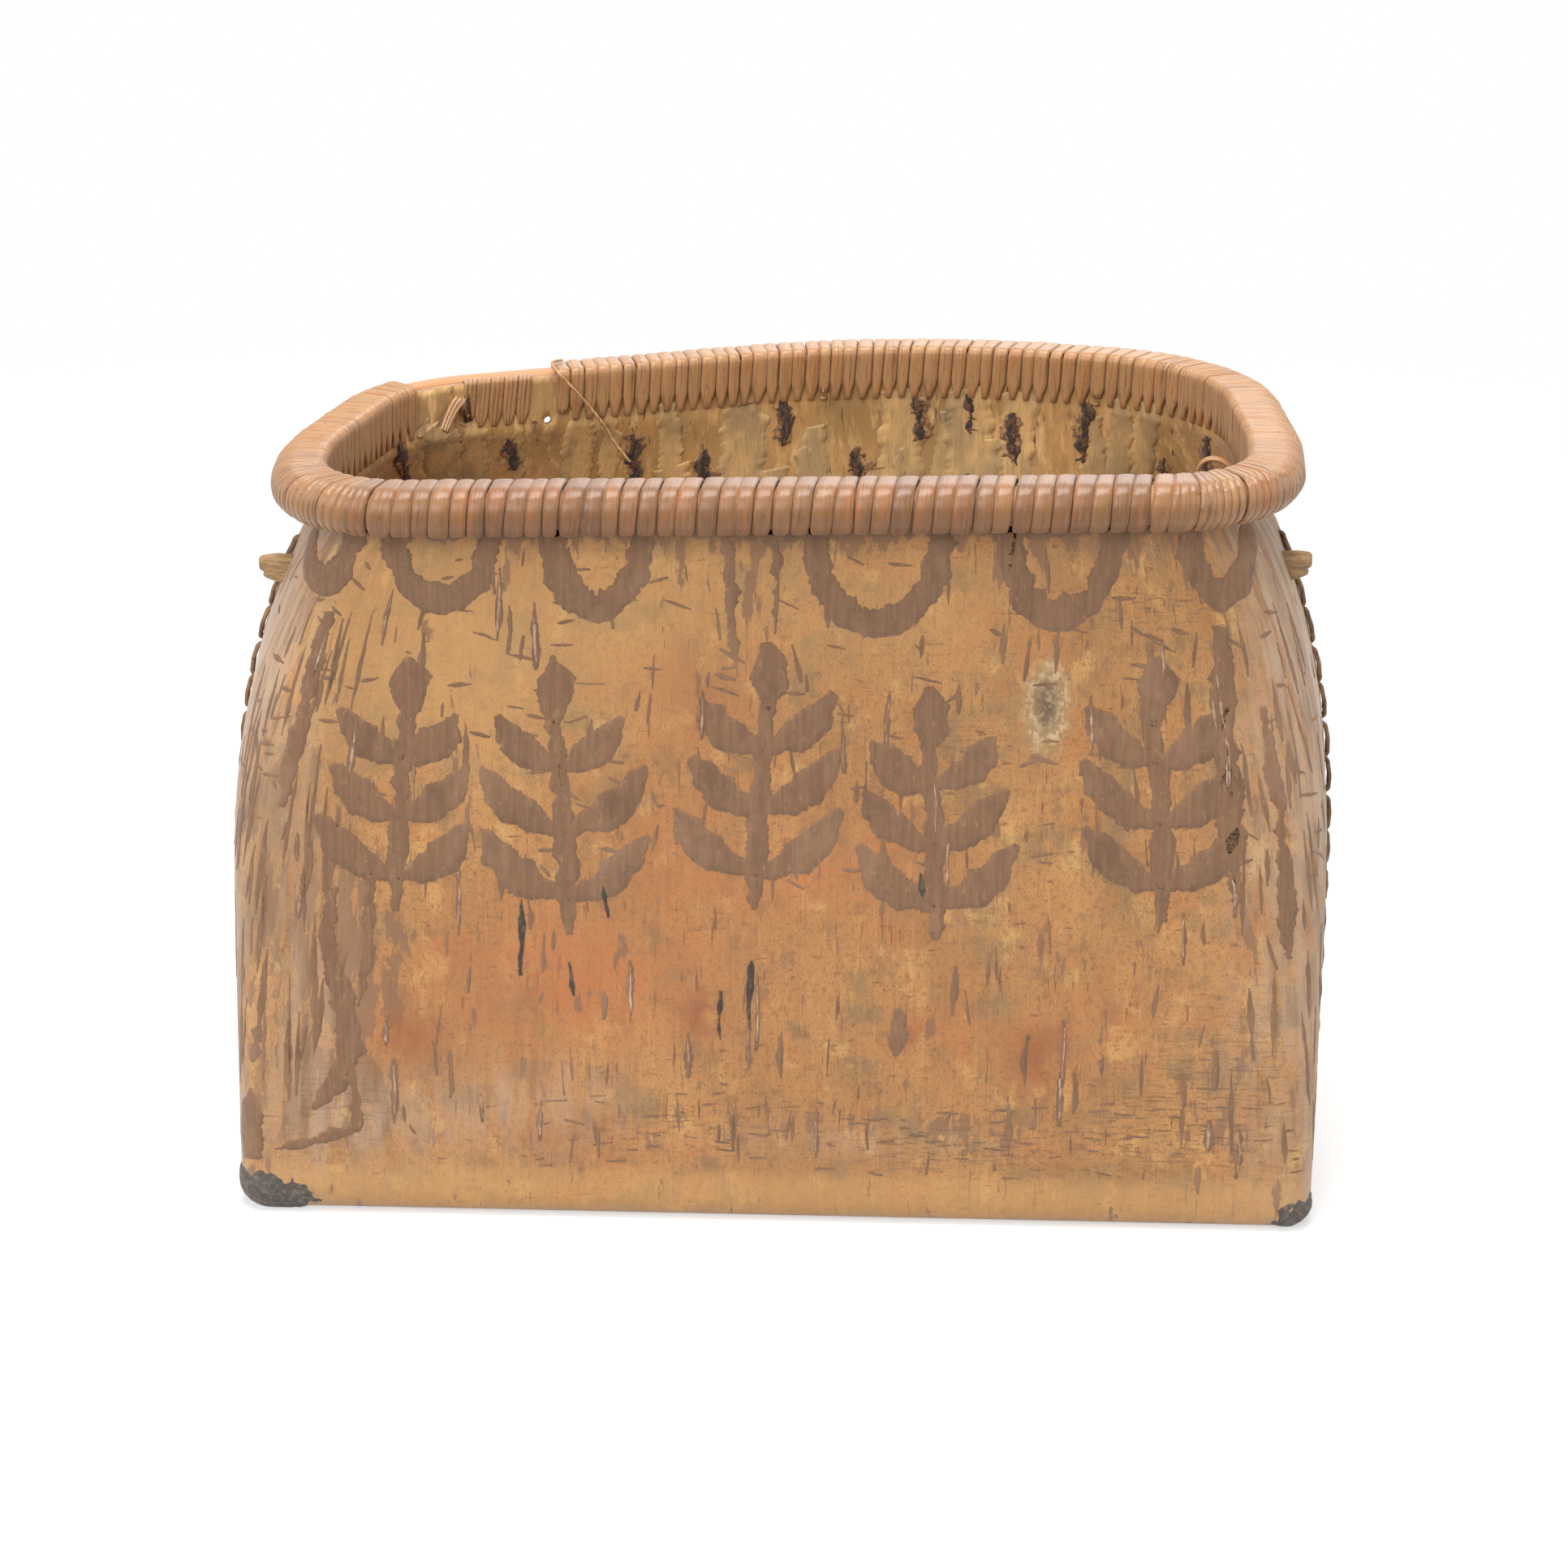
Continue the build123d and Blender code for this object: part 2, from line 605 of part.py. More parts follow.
pieces = {
    "bark_sheet": bark_sheet.part,
    "rim_hoop": rim_hoop.part,
    "under_lashing": under_lashing,
    **{f"rim_root_{number + 1}": root for number, root in enumerate(rim_roots)},
    "seam_root_right": seam_root_right,
    "seam_root_left": seam_root_left,
    "thong_right": thong_right,
    "thong_left": thong_left,
    "gum_left": gum_left,
    "gum_right": gum_right,
    "loose_fibre": loose_fibre.part,
}
for name, piece in pieces.items():
    piece.label = name
    export_step(piece, f"parts/{name}.step")
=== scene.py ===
"""Folded birch bark basket with a root-lashed rim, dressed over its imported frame.

Shapes are worked out in millimetres with the basket's own sizes and put into meshes in
metres. The bark, hoop, lashing, stitches, thongs, gum and loose fibre take the place of
the plain solids of the same names.
"""

import math

import bpy
import mathutils
import numpy as np
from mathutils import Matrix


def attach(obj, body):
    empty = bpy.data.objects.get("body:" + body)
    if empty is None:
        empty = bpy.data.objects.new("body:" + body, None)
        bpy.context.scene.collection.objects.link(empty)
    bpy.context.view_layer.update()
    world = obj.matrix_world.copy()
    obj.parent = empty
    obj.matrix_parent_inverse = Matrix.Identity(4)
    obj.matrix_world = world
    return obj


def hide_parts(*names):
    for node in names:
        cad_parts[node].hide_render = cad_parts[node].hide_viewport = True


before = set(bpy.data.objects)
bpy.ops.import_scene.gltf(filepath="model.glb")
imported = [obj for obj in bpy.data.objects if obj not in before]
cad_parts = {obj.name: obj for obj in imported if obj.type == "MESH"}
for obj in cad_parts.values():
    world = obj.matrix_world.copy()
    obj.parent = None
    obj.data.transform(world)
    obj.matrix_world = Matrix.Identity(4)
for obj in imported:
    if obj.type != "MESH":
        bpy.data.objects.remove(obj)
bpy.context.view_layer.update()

MM = 0.001
TAU = 2 * math.pi

# Camera, from the photograph
IMAGE = 1932
CAMERA_DISTANCE = 1.5
CAMERA_TARGET = (0.0, -0.0085, 0.107)
CAMERA_HEIGHT = 19.0  # degrees above level
CAMERA_TURN = 1.5  # towards the right end
CAMERA_ROLL = 0.6
FOCAL_PIXELS = 6615

# Bark sheet, as in the solids
BARK = 1.8
FOLD = 6.5
BELLY = 0.5
LEAN_SHARE = 0.46
LEAN_POWER = 2.4
FOOT_LENGTH = 294.6
FOOT_FRONT = 68.5
FOOT_BACK = 64.0
FOOT_CORNER = 9.0
FOOT_END_SWELL = 1.0
FOOT_BACK_SWELL = 1.5
MOUTH_LENGTH = 248.6
MOUTH_SHIFT = 1.1
MOUTH_FRONT = 69.2
MOUTH_BACK = 41.0
MOUTH_BACK_SKEW = 7.0
MOUTH_END_SWELL = 1.6
MOUTH_BACK_DRAW = 9.8
MOUTH_APEX = (30.9, 77.4)
APEX_RADIUS = 150.0
MOUTH_FRONT_CORNER = 26.0
MOUTH_BACK_CORNERS = (54.0, 38.0)
END_RADIUS = 80.0
LAP = 1.8
LAP_OVERLAP = 12.0
RIGHT_CUT = (-6.0, -26.0)
LEFT_CUT = (4.0, -27.0)

# Rim
RIM_HEIGHT = 206.3
RIM_TILT = 1.5
NECK_DROP = 10.5
BARK_TOP = 4.4
HOOP_THICKNESS = 9.2
HOOP_HEIGHT = 10.2
HOOP_GAP = 1.3
HOOP_ROUND = 4.9
HOOP_EASE = 2.0
ROOT = 1.3
SNUG = 0.3
ROOT_COUNT = 7
TURNS = 20
BARE_PLACES = 11
BARE_END = -66.0
CROWDING = 0.15
FRONT_SHARE = 0.42
NECK_WIDTH = 1.8
AWL_DROP = 8.2
UNDER_ROOT = 0.75
UNDER_PLACE = 2
UNDER_TURNS = 5
TAIL_REACH = 3.6

# End seams, thongs and the loose fibre
STITCHES = 16
SEAM_START = 14.0
SEAM_STOP = 9.0
SEAM_INSET = 6.0
SEAM_TAIL = 5.0
STITCH_WIDTH = 4.2
STITCH_NECK = 1.7
STITCH = 1.2
STITCH_RISE = 0.4
STITCH_SLANT = 0.7
STITCH_SHOULDER = 3.4
STRAND_GAP = 0.6
THONG_DROP = 15.8
THONG_DEPTH = -41.0
THONG_OUT = 8.5
THONG_IN = 9.0
STRAPS = ((1.4, 5.4, 0.8), (-1.6, 5.0, 0.66))  # lift, width and share of the reach
FIBRE = 0.8

NECK_HEIGHT = RIM_HEIGHT - NECK_DROP
LEAN_START = LEAN_SHARE * NECK_HEIGHT
HOOP_IN = BARK / 2 + HOOP_GAP
STITCH_PITCH = (NECK_HEIGHT - SEAM_STOP - SEAM_START) / STITCHES
THONG_HEIGHT = NECK_HEIGHT - THONG_DROP
PLACES = BARE_PLACES + ROOT_COUNT * TURNS


# Meshes


def linked(name, data):
    """New object of a mesh, curve, lamp or camera, linked to the scene."""
    made = bpy.data.objects.new(name, data)
    bpy.context.scene.collection.objects.link(made)
    return made


def piece(name, points, faces, materials, slot, nodes=(), uv=None, kinds=None, **facts):
    """Makes a mesh piece from points in millimetres and faces as rows of point numbers.

    uv holds a pair in metres for each corner of each face, row by row, and kinds the
    number of each face's material. Each further fact becomes a float attribute on the
    points.
    """
    mesh = bpy.data.meshes.new(name)
    mesh.from_pydata((np.asarray(points) * MM).tolist(), [], np.asarray(faces).tolist())
    mesh.polygons.foreach_set("use_smooth", np.ones(len(mesh.polygons), bool))
    if uv is not None:
        layer = mesh.uv_layers.new(name="sheet")
        layer.data.foreach_set("uv", np.asarray(uv, np.float32).ravel())
    for fact, values in facts.items():
        attribute = mesh.attributes.new(fact, "FLOAT", "POINT")
        attribute.data.foreach_set("value", np.asarray(values, np.float32).ravel())
    for material in materials:
        mesh.materials.append(material)
    if kinds is not None:
        mesh.polygons.foreach_set("material_index", np.asarray(kinds, np.int32))
    made = linked(name, mesh)
    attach(made, "root")
    if nodes:
        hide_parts(*nodes)
    return made


def grid_faces(rows, columns, close_rows=False, close_columns=False, first=0):
    """Quads of a grid of points: point number is row * columns + column + first."""
    row = np.arange(rows if close_rows else rows - 1)[:, None]
    column = np.arange(columns if close_columns else columns - 1)[None, :]
    below, beside = (row + 1) % rows, (column + 1) % columns
    near, far = row * columns + first, below * columns + first
    corners = np.broadcast_arrays(near + column, near + beside, far + beside, far + column)
    return np.stack(corners, -1).reshape(-1, 4)


def waves(u, v, scale, seed, count=9):
    """Smooth unevenness between -1 and 1: a sum of sines of random direction and phase."""
    source = np.random.default_rng(seed)
    total = 0.0
    for _ in range(count):
        angle, phase = source.uniform(0, TAU, 2)
        pitch = scale * source.uniform(0.6, 1.7)
        total = total + np.sin(TAU * (u * math.cos(angle) + v * math.sin(angle)) / pitch + phase)
    return total / count**0.5 / 1.6


# Form of the bark


def blend(low, high, share):
    """Value at a share of the way from low to high."""
    return low + (high - low) * share


def smooth_step(low, high, value):
    """0 below low, 1 above high, and a smooth rise between."""
    share = np.clip((value - low) / (high - low), 0, 1)
    return share * share * (3 - 2 * share)


def girth(height, inset=0.0):
    """Corner points of the bark's outer face at a height, against the clock from the front left.

    Each measure goes from its foot to its mouth value as a power of the height above the
    place where the walls start to lean, and half a sine of the height swells the walls.
    """
    share = max(0.0, (height - LEAN_START) / (NECK_HEIGHT - LEAN_START)) ** LEAN_POWER
    out = BELLY * math.sin(math.pi * height / NECK_HEIGHT) - inset
    middle = blend(0.0, MOUTH_SHIFT, share)
    half = blend(FOOT_LENGTH, MOUTH_LENGTH + BARK, share) / 2 + out
    front = -blend(FOOT_FRONT, MOUTH_FRONT + BARK / 2, share) - out
    draw, skew = blend(0.0, MOUTH_BACK_DRAW, share), blend(0.0, MOUTH_BACK_SKEW, share)
    back = blend(FOOT_BACK, MOUTH_BACK + BARK / 2, share) + out
    end_swell = blend(FOOT_END_SWELL, MOUTH_END_SWELL, share)
    apex = blend(FOOT_BACK + FOOT_BACK_SWELL, MOUTH_APEX[1] + BARK / 2, share) + out
    return [
        (middle - half, front),
        (middle + half, front),
        (middle + half + end_swell, cut_depth(RIGHT_CUT, height)),
        (middle + half - draw / 2, back + skew),
        (MOUTH_APEX[0], apex),
        (middle - half + draw * 1.5, back - skew),
        (middle - half - end_swell, cut_depth(LEFT_CUT, height)),
    ]


def cut_depth(cut, height):
    """Place in depth of a lap's cut edge."""
    return blend(cut[0], cut[1], height / NECK_HEIGHT)


def corner_radii(height, inset=0.0):
    """Radii of the front, right back and left back corners."""
    share = (height / NECK_HEIGHT) ** 1.5
    front = blend(FOOT_CORNER, MOUTH_FRONT_CORNER, share) - inset
    return front, *(blend(FOOT_CORNER, radius, share) - inset for radius in MOUTH_BACK_CORNERS)


def lapped_girth(height, inset=0.0, inside=False, lap=LAP):
    """Girth with the step of the lap at each end, further forward on the inner face."""
    front_left, front_right, right, back_right, apex, back_left, left = girth(height, inset)
    shift = -LAP_OVERLAP * lap / LAP if inside else 0.0
    front, right_corner, left_corner = corner_radii(height, inset)
    points = [
        front_left,
        front_right,
        (right[0] + lap, right[1] + shift),
        (right[0], right[1] + shift),
        back_right,
        apex,
        back_left,
        (left[0], left[1] + shift),
        (left[0] - lap, left[1] + shift),
    ]
    return points, [front, front, 0.0, 0.0, right_corner, APEX_RADIUS, left_corner, 0.0, 0.0]


def rounded(points, radii, bends, runs):
    """Points along an outline of straight runs and tangent arcs.

    Each corner is an arc of bends + 1 points, and each run after it is divided into
    so many parts. An arc's points are its centre plus the radius at even angles.
    """
    points = np.asarray(points, float)
    parts = []
    count = len(points)
    starts, ends = [], []
    for index in range(count):
        before, corner, after = points[index - 1], points[index], points[(index + 1) % count]
        back, ahead = before - corner, after - corner
        back, ahead = back / np.hypot(*back), ahead / np.hypot(*ahead)
        half = math.acos(np.clip(back @ ahead, -1, 1)) / 2
        reach = radii[index] / math.tan(half) if radii[index] else 0.0
        starts.append(corner + back * reach)
        ends.append(corner + ahead * reach)
        if not radii[index]:
            parts.append(corner[None])
            continue
        centre = corner + (back + ahead) / np.hypot(*(back + ahead)) * radii[index] / math.sin(half)
        spoke = starts[-1] - centre
        sense = np.sign(back[1] * ahead[0] - back[0] * ahead[1])
        turn = np.linspace(0, sense * (math.pi - 2 * half), bends[index] + 1)[:, None]
        quarter = np.array([-spoke[1], spoke[0]])
        parts.append(centre + spoke * np.cos(turn) + quarter * np.sin(turn))
    ring = []
    for index in range(count):
        ring.append(parts[index])
        steps = np.arange(1, runs[index])[:, None] / max(runs[index], 1)
        ring.append(ends[index] + (starts[(index + 1) % count] - ends[index]) * steps)
    return np.concatenate(ring)


def tilted(plan, height):
    """Points of a plan (x, y) at a height above the underside, tipped as the rim is."""
    tip = math.radians(RIM_TILT) * min(1.0, height / NECK_HEIGHT) ** 2
    x, y = plan[..., 0], plan[..., 1]
    return np.stack([x * math.cos(tip), y, height + x * math.sin(tip)], -1)


def risen(plan, rise):
    """Points of a plan at the neck, moved up along the rim's own axis."""
    tip = math.radians(RIM_TILT)
    return tilted(plan, NECK_HEIGHT) + np.asarray(rise)[..., None] * (-math.sin(tip), 0.0, math.cos(tip))


# Rim line


def measured(ring):
    """Length walked along a closed ring of points, from 0 to its whole length."""
    steps = np.hypot(*np.diff(np.vstack([ring, ring[:1]]), axis=0).T)
    return np.concatenate([[0.0], np.cumsum(steps)])


RIM_BENDS = [90, 90, 20, 120, 60, 90, 40]
RIM_RUNS = [400, 90, 120, 200, 300, 80, 60]
front_bend, right_bend, left_bend = corner_radii(NECK_HEIGHT, BARK / 2)
neck_radii = [front_bend, front_bend, END_RADIUS, right_bend, APEX_RADIUS, left_bend, END_RADIUS]
rim_ring = rounded(girth(NECK_HEIGHT, BARK / 2), neck_radii, RIM_BENDS, RIM_RUNS)
rim_walk = measured(rim_ring)
rim_length = rim_walk[-1]
on_back = (rim_ring[:, 1] > 30) & (rim_ring[:, 0] < 0)
rim_start = rim_walk[:-1][on_back][np.argmin(np.abs(rim_ring[on_back, 0] - BARE_END))]


def rim_point(length):
    """Plan point and outward direction on the rim line, that far along it.

    The outward direction is a right angle to the line from just behind to just ahead.
    """
    closed = np.vstack([rim_ring, rim_ring[:1]])

    def at(length):
        return np.stack([np.interp(length % rim_length, rim_walk, closed[:, axis]) for axis in (0, 1)], -1)

    length = np.asarray(length)
    along = unit(at(length + 0.3) - at(length - 0.3))
    return at(length), np.stack([along[..., 1], -along[..., 0]], -1)


def rim_spot(place, outward, up):
    """Points beside the rim line, by place round it, outward and up from it.

    Places crowd at the back by a sine of the share of the way round.
    """
    share = np.asarray(place) / PLACES
    swing = np.sin(TAU * (share - FRONT_SHARE)) + math.sin(TAU * FRONT_SHARE)
    point, side = rim_point(rim_start + rim_length * (share + CROWDING / TAU * swing))
    return risen(point + side * np.asarray(outward)[..., None], NECK_DROP + np.asarray(up))


# Strands


def unit(vectors):
    """The vectors divided by their lengths."""
    return vectors / np.linalg.norm(vectors, axis=-1, keepdims=True)


def ladder(count, first=0):
    """Quads that close a ring of points, each from one side of the ring to the other."""
    half = np.arange(count // 2 - 1)
    return np.stack([half, half + 1, count - 2 - half, count - 1 - half], 1) + first


def tube_faces(rows, columns):
    """Quads of a tube of rings of points, closed at both ends."""
    ends = [ladder(columns)[:, ::-1], ladder(columns, (rows - 1) * columns)]
    return np.vstack([grid_faces(rows, columns, close_columns=True), *ends])


# Cut across a split root, up one side from its flat to its rounded back: sideways as a
# share of half its width, up as a share of its thickness, and how far a split sinks there
ROOT_SIDE = [(0.94, -0.5, 0), (1, -0.1, 0), (0.93, 0.27, 0), (0.66, 0.44, 0), (0.44, 0.49, 0)]
ROOT_SIDE += [(0.33, 0.5, 1), (0.22, 0.51, 0)]
OTHER_SIDE = [(-out, up, sink) for out, up, sink in ROOT_SIDE[::-1]]
ROOT_CUT = np.array([OTHER_SIDE[-1], (0, -0.45, 0), *ROOT_SIDE, (0, 0.53, 0), *OTHER_SIDE[:-1]])


def strand_mesh(spots, across, width, thickness, split=0.0):
    """Split root along a row of spots: its points, faces and length walked at each spot.

    Each cut stands across the way the root travels: a point is the spot plus its share
    of the width along `across`, plus its share of the thickness along the normal, which
    is across crossed with the travel.
    """
    travel = unit(np.gradient(spots, axis=0))
    across = unit(across - travel * np.sum(across * travel, -1, keepdims=True))
    normal = unit(np.cross(across, travel))
    side = across * (np.asarray(width) / 2)[:, None]
    rise = normal * (np.zeros(len(spots)) + thickness)[:, None]
    up = ROOT_CUT[None, :, 1] - ROOT_CUT[None, :, 2] * 0.75 * (np.zeros(len(spots)) + split)[:, None]
    points = spots[:, None] + side[:, None] * ROOT_CUT[None, :, :1] + rise[:, None] * up[..., None]
    walk = np.concatenate([[0.0], np.cumsum(np.linalg.norm(np.diff(spots, axis=0), axis=1))])
    return points.reshape(-1, 3), tube_faces(*points.shape[:2])[:, ::-1], walk


def strand(name, spots, across, width, thickness, material, slot, nodes, tone, split=0.0):
    """Piece of split root with its length and width as UV, and a tone for each spot.

    Painted light, a paler colour, rises from the front to the back, with painted sheen round both ends.
    """
    points, faces, walk = strand_mesh(spots, across, width, thickness, split)
    lateral = ROOT_CUT[:, 0] * 0.002
    pairs = np.stack(np.broadcast_arrays(walk[:, None] * MM, lateral[None]), -1).reshape(-1, 2)
    tone = np.repeat(tone, len(ROOT_CUT))
    x, y = points[:, 0], points[:, 1]
    # painted light: paler towards the back, and painted sheen round both ends
    faded = smooth_step(-50, 10, y) + 0.7 * smooth_step(95, 125, x) + 0.6 * smooth_step(100, 130, -x)
    faded = np.clip(faded, 0, 1)
    return piece(name, points, faces, [material], slot, nodes, uv=pairs[faces], tone=tone, faded=faded)


def turn_outline():
    """One turn in a cut across the rim, from the awl hole out, round the hoop and back."""
    lie = SNUG + ROOT / 2
    middle = HOOP_IN + HOOP_THICKNESS - HOOP_ROUND
    reach = (HOOP_ROUND + lie) / math.cos(math.pi / 8)
    flat = HOOP_HEIGHT / 2 - HOOP_ROUND
    steps = [(-3, -flat), (-1, -flat), (1, flat), (3, flat)]
    inner = -BARK / 2 - lie
    corners = [(inner, -AWL_DROP)]
    for eighths, lift in steps:
        angle = eighths * math.pi / 8
        corners.append((middle + reach * math.cos(angle), lift + reach * math.sin(angle)))
    corners.append((inner, HOOP_HEIGHT / 2 + lie))
    big = HOOP_ROUND + lie
    return rounded(corners, [0.5, big, big, big, big, 1.6], [2, 5, 5, 5, 5, 4], [5, 1, 1, 1, 4, 8])


STRAY = np.random.default_rng(39).uniform(-0.17, 0.17, PLACES + 3)
STRAY[: BARE_PLACES + 2] = 0.0
STRAY[PLACES:] = 0.0


def strayed(place):
    """Place moved as the border between two turns strays there."""
    borders = np.arange(len(STRAY)) - 0.5
    return np.interp(place, borders, borders + STRAY)


def turned(outline, share, first, count, sway=0.0):
    """Outline of a turn carried one place along the rim with each turn.

    Gives each spot's place, outward and up.
    """
    place = first + np.arange(count)[:, None] + share + sway
    return place.ravel(), np.tile(outline[:, 0], count), np.tile(outline[:, 1], count)


def root_room(place, outward, up):
    """Room for a root between the borders to its neighbours: middle, way across and width."""
    low, high = (rim_spot(strayed(place + half), outward, up) for half in (-0.5, 0.5))
    return (low + high) / 2, high - low, np.linalg.norm(high - low, axis=1)


def wound_root(number, material):
    """One root's turns round hoop and bark.

    Its line is the turn's outline carried one place along the rim with each turn. Its
    width fills the room between the borders to its neighbours, which stray at random,
    and draws in to a point at the awl hole. Round the ends of the basket the root is
    split into three finer strips.
    """
    outline = turn_outline()
    walk = measured(outline)
    share = walk[:-1] / walk[-1]
    source = np.random.default_rng(40 + number)
    sway = source.normal(0, 0.045, (TURNS, 1)) * np.sin(math.pi * share) ** 0.5
    place, outward, up = turned(outline, share, BARE_PLACES + number * TURNS, TURNS, sway)
    swell = np.repeat(source.normal(0, 0.09, TURNS), len(share))
    spots, across, room = root_room(place, outward, up)
    leaving, coming = smooth_step(1.0, 15.0, walk[:-1]), smooth_step(0.0, 4.5, walk[-1] - walk[:-1])
    tight = np.tile(np.minimum(leaving, coming), TURNS)
    width = blend(NECK_WIDTH, (room - 0.12) * (1 + 0.25 * swell), tight)
    thickness = ROOT * (1 + 0.8 * swell)
    tone = np.repeat(np.clip(source.normal(0.5, 0.2, TURNS), 0, 1), len(share))
    split = smooth_step(98, 126, np.abs(spots[:, 0]))
    name, replaced = f"rim_root_{number + 1}_wound", [f"rim_root_{number + 1}"]
    return strand(name, spots, across, width, thickness, material, "split_root", replaced, tone, split)


def under_outline():
    """One turn of the under-lashing in a cut across the rim."""
    lie = BARK / 2 + SNUG + UNDER_ROOT / 2
    top = BARK_TOP + SNUG + UNDER_ROOT / 2
    corners = [(-lie, -AWL_DROP), (lie, -AWL_DROP), (lie, top), (-lie, top)]
    return rounded(corners, [0.4, 0.4, 0.9, 0.9], [2, 2, 4, 4], [3, 8, 2, 8])


def under_root(material):
    """The under-lashing: turns of its own outline, drawn in to a neck at the awl holes.

    Its broken end stands into the basket, bent by powers of the share of its length.
    """
    outline = under_outline()
    walk = measured(outline)
    place, outward, up = turned(outline, walk[:-1] / walk[-1], UNDER_PLACE, UNDER_TURNS)
    neck = -outline[:, 1].min()
    width_share = np.tile(smooth_step(neck, neck - 4.0, -outline[:, 1]), UNDER_TURNS)
    lie = BARK / 2 + SNUG + UNDER_ROOT / 2
    bend = np.linspace(0, 1, 9)[1:]
    place = np.append(place, UNDER_PLACE + UNDER_TURNS - 1 + 0.9 + 2.5 * bend)
    outward = np.append(outward, -lie - TAIL_REACH * bend**1.5)
    up = np.append(up, 2.0 - 9.0 * bend**1.3)
    width_share = np.append(width_share, 1 - 0.5 * bend)
    spots, across, room = root_room(place, outward, up)
    width = blend(NECK_WIDTH, room - 0.15, width_share)
    tone = np.full(len(place), 0.3)
    name, replaced = "under_lashing_wound", ["under_lashing"]
    return strand(name, spots, across, width, UNDER_ROOT, material, "split_root", replaced, tone, 0.9)


# Loop of a root's end: places along X, in depth and in height
LOOP_ALONG = [123, 119, 114.5, 112.5, 113.5, 118, 122]
LOOP_DEPTH = [3, 4, 5, 6, 7, 8, 8.5]
LOOP_RISE = [197, 200, 199.5, 195.5, 191, 189.5, 189]


def root_end(material):
    """End of a rim root that stands in a small loop off the inside of the right end."""
    spots = softened(np.array([LOOP_ALONG, LOOP_DEPTH, LOOP_RISE], float).T, 3)
    across = np.tile([0.15, 1.0, 0.1], (len(spots), 1))
    width, tone = np.full(len(spots), 2.6), np.full(len(spots), 0.7)
    return strand("rim_root_end", spots, across, width, 1.0, material, "split_root", [], tone)


def softened(values, rounds=2):
    """Cuts a polyline's corners: each side gives its points at a quarter and three quarters."""
    for _ in range(rounds):
        near, far = values[:-1] * 0.75 + values[1:] * 0.25, values[:-1] * 0.25 + values[1:] * 0.75
        inner = np.stack([near, far], 1).reshape(-1, *values.shape[1:])
        values = np.concatenate([values[:1], inner, values[-1:]])
    return values


def end_spot(right, height, depth, rise, inside=False):
    """Point off an end wall: outside its outer face, or inside its inner one."""
    outer, _ = lapped_girth(height)
    inner, _ = lapped_girth(height, BARK, inside=True)
    if inside:
        near, far = (inner[3], inner[4]) if right else (inner[7], inner[6])
    else:
        near, far = (outer[1], outer[2]) if right else (outer[0], outer[8])
    face = near[0] + (far[0] - near[0]) * (depth - near[1]) / (far[1] - near[1])
    sign = 1 if right else -1
    along = face - sign * rise if inside else face + sign * rise
    return tilted(np.array([along, depth]), height)


# Gives the tones of both end seams in turn
seam_source = np.random.default_rng(7)


def seam_root(right, material):
    """Root that sews a lap: up in running stitches, and down again in the gaps between.

    Where it turns at the top it is twisted half round, in the hole, so that its rounded
    back faces outward on the way down too.
    """
    apart = (STITCH_NECK + STRAND_GAP) / 2
    lie = 0.1 + STITCH / 2
    marks = [(SEAM_START - SEAM_TAIL, -apart, lie + 1.5, True, STITCH_NECK)]
    marks.append((SEAM_START - STITCH_SLANT, -apart, lie, True, STITCH_NECK))
    for way in (1, -1):
        for gap in range(STITCHES)[::way]:
            inside = (gap % 2 == 1) == (way == 1)
            low = SEAM_START + gap * STITCH_PITCH
            high = low + STITCH_PITCH
            stitch = [
                (low + STITCH_SLANT, -apart * way, lie, inside, STITCH_NECK),
                (low + STITCH_SHOULDER, 0.0, lie + 0.15, inside, STITCH_WIDTH),
                (low + STITCH_PITCH / 2, 0.0, lie + STITCH_RISE, inside, STITCH_WIDTH),
                (high - STITCH_SHOULDER, 0.0, lie + 0.15, inside, STITCH_WIDTH),
                (high - STITCH_SLANT, -apart * way, lie, inside, STITCH_NECK),
            ]
            marks += stitch[::way]
    marks.append((SEAM_START - STITCH_SLANT, apart, lie, True, STITCH_NECK))
    marks.append((SEAM_START - SEAM_TAIL, apart, lie + 1.5, True, STITCH_NECK))
    cut = RIGHT_CUT if right else LEFT_CUT
    rows = []
    for height, shift, rise, inside, width in marks:
        depth = cut_depth(cut, height) - SEAM_INSET + shift
        rows.append([*end_spot(right, height, depth, rise, inside), width])
    rows = softened(np.array(rows))
    spots, width = rows[:, :3], rows[:, 3]
    travel = unit(np.gradient(spots, axis=0))
    half = len(spots) / 2
    twist = math.pi * smooth_step(half - 5, half + 5, np.arange(len(spots)))[:, None]
    across = np.tile([0.0, 1.0 if right else -1.0, 0.0], (len(spots), 1))
    across = across * np.cos(twist) + np.cross(travel, across) * np.sin(twist)
    tone = np.repeat(seam_source.uniform(0, 1, len(spots) // 20 + 1), 20)[: len(spots)]
    node = "seam_root_right" if right else "seam_root_left"
    return strand(node + "_sewn", spots, across, width, STITCH, material, "seam_root", [node], tone)


# Bark shell: columns run round the girth from the front left corner, rows up the walls

SHELL_BENDS = [10, 10, 0, 0, 12, 8, 10, 0, 0]
SHELL_RUNS = [150, 26, 1, 30, 60, 70, 30, 1, 26]
FRONT_COLUMNS = 11 + 150 + 10 + 26  # from the front left corner to the right cut edge
BACK_COLUMNS = 1 + 29 + 13 + 59 + 9 + 69 + 11 + 29 + 1  # of the back sheet
MIDDLE_COLUMN = 80  # near the middle of the front
WALL_ROWS = 80
KNOT = (71.3, 151.0, 5.2, 11.5)  # middle, half width and half height
OPEN_HOLES = (1.0,)  # places of the awl holes of the bare stretch that are seen through
HOLE_RADIUS = 1.15
FRONT_DEPTH = -40  # the front wall lies ahead of this depth
BACK_DEPTH = 25  # and the back wall behind this one


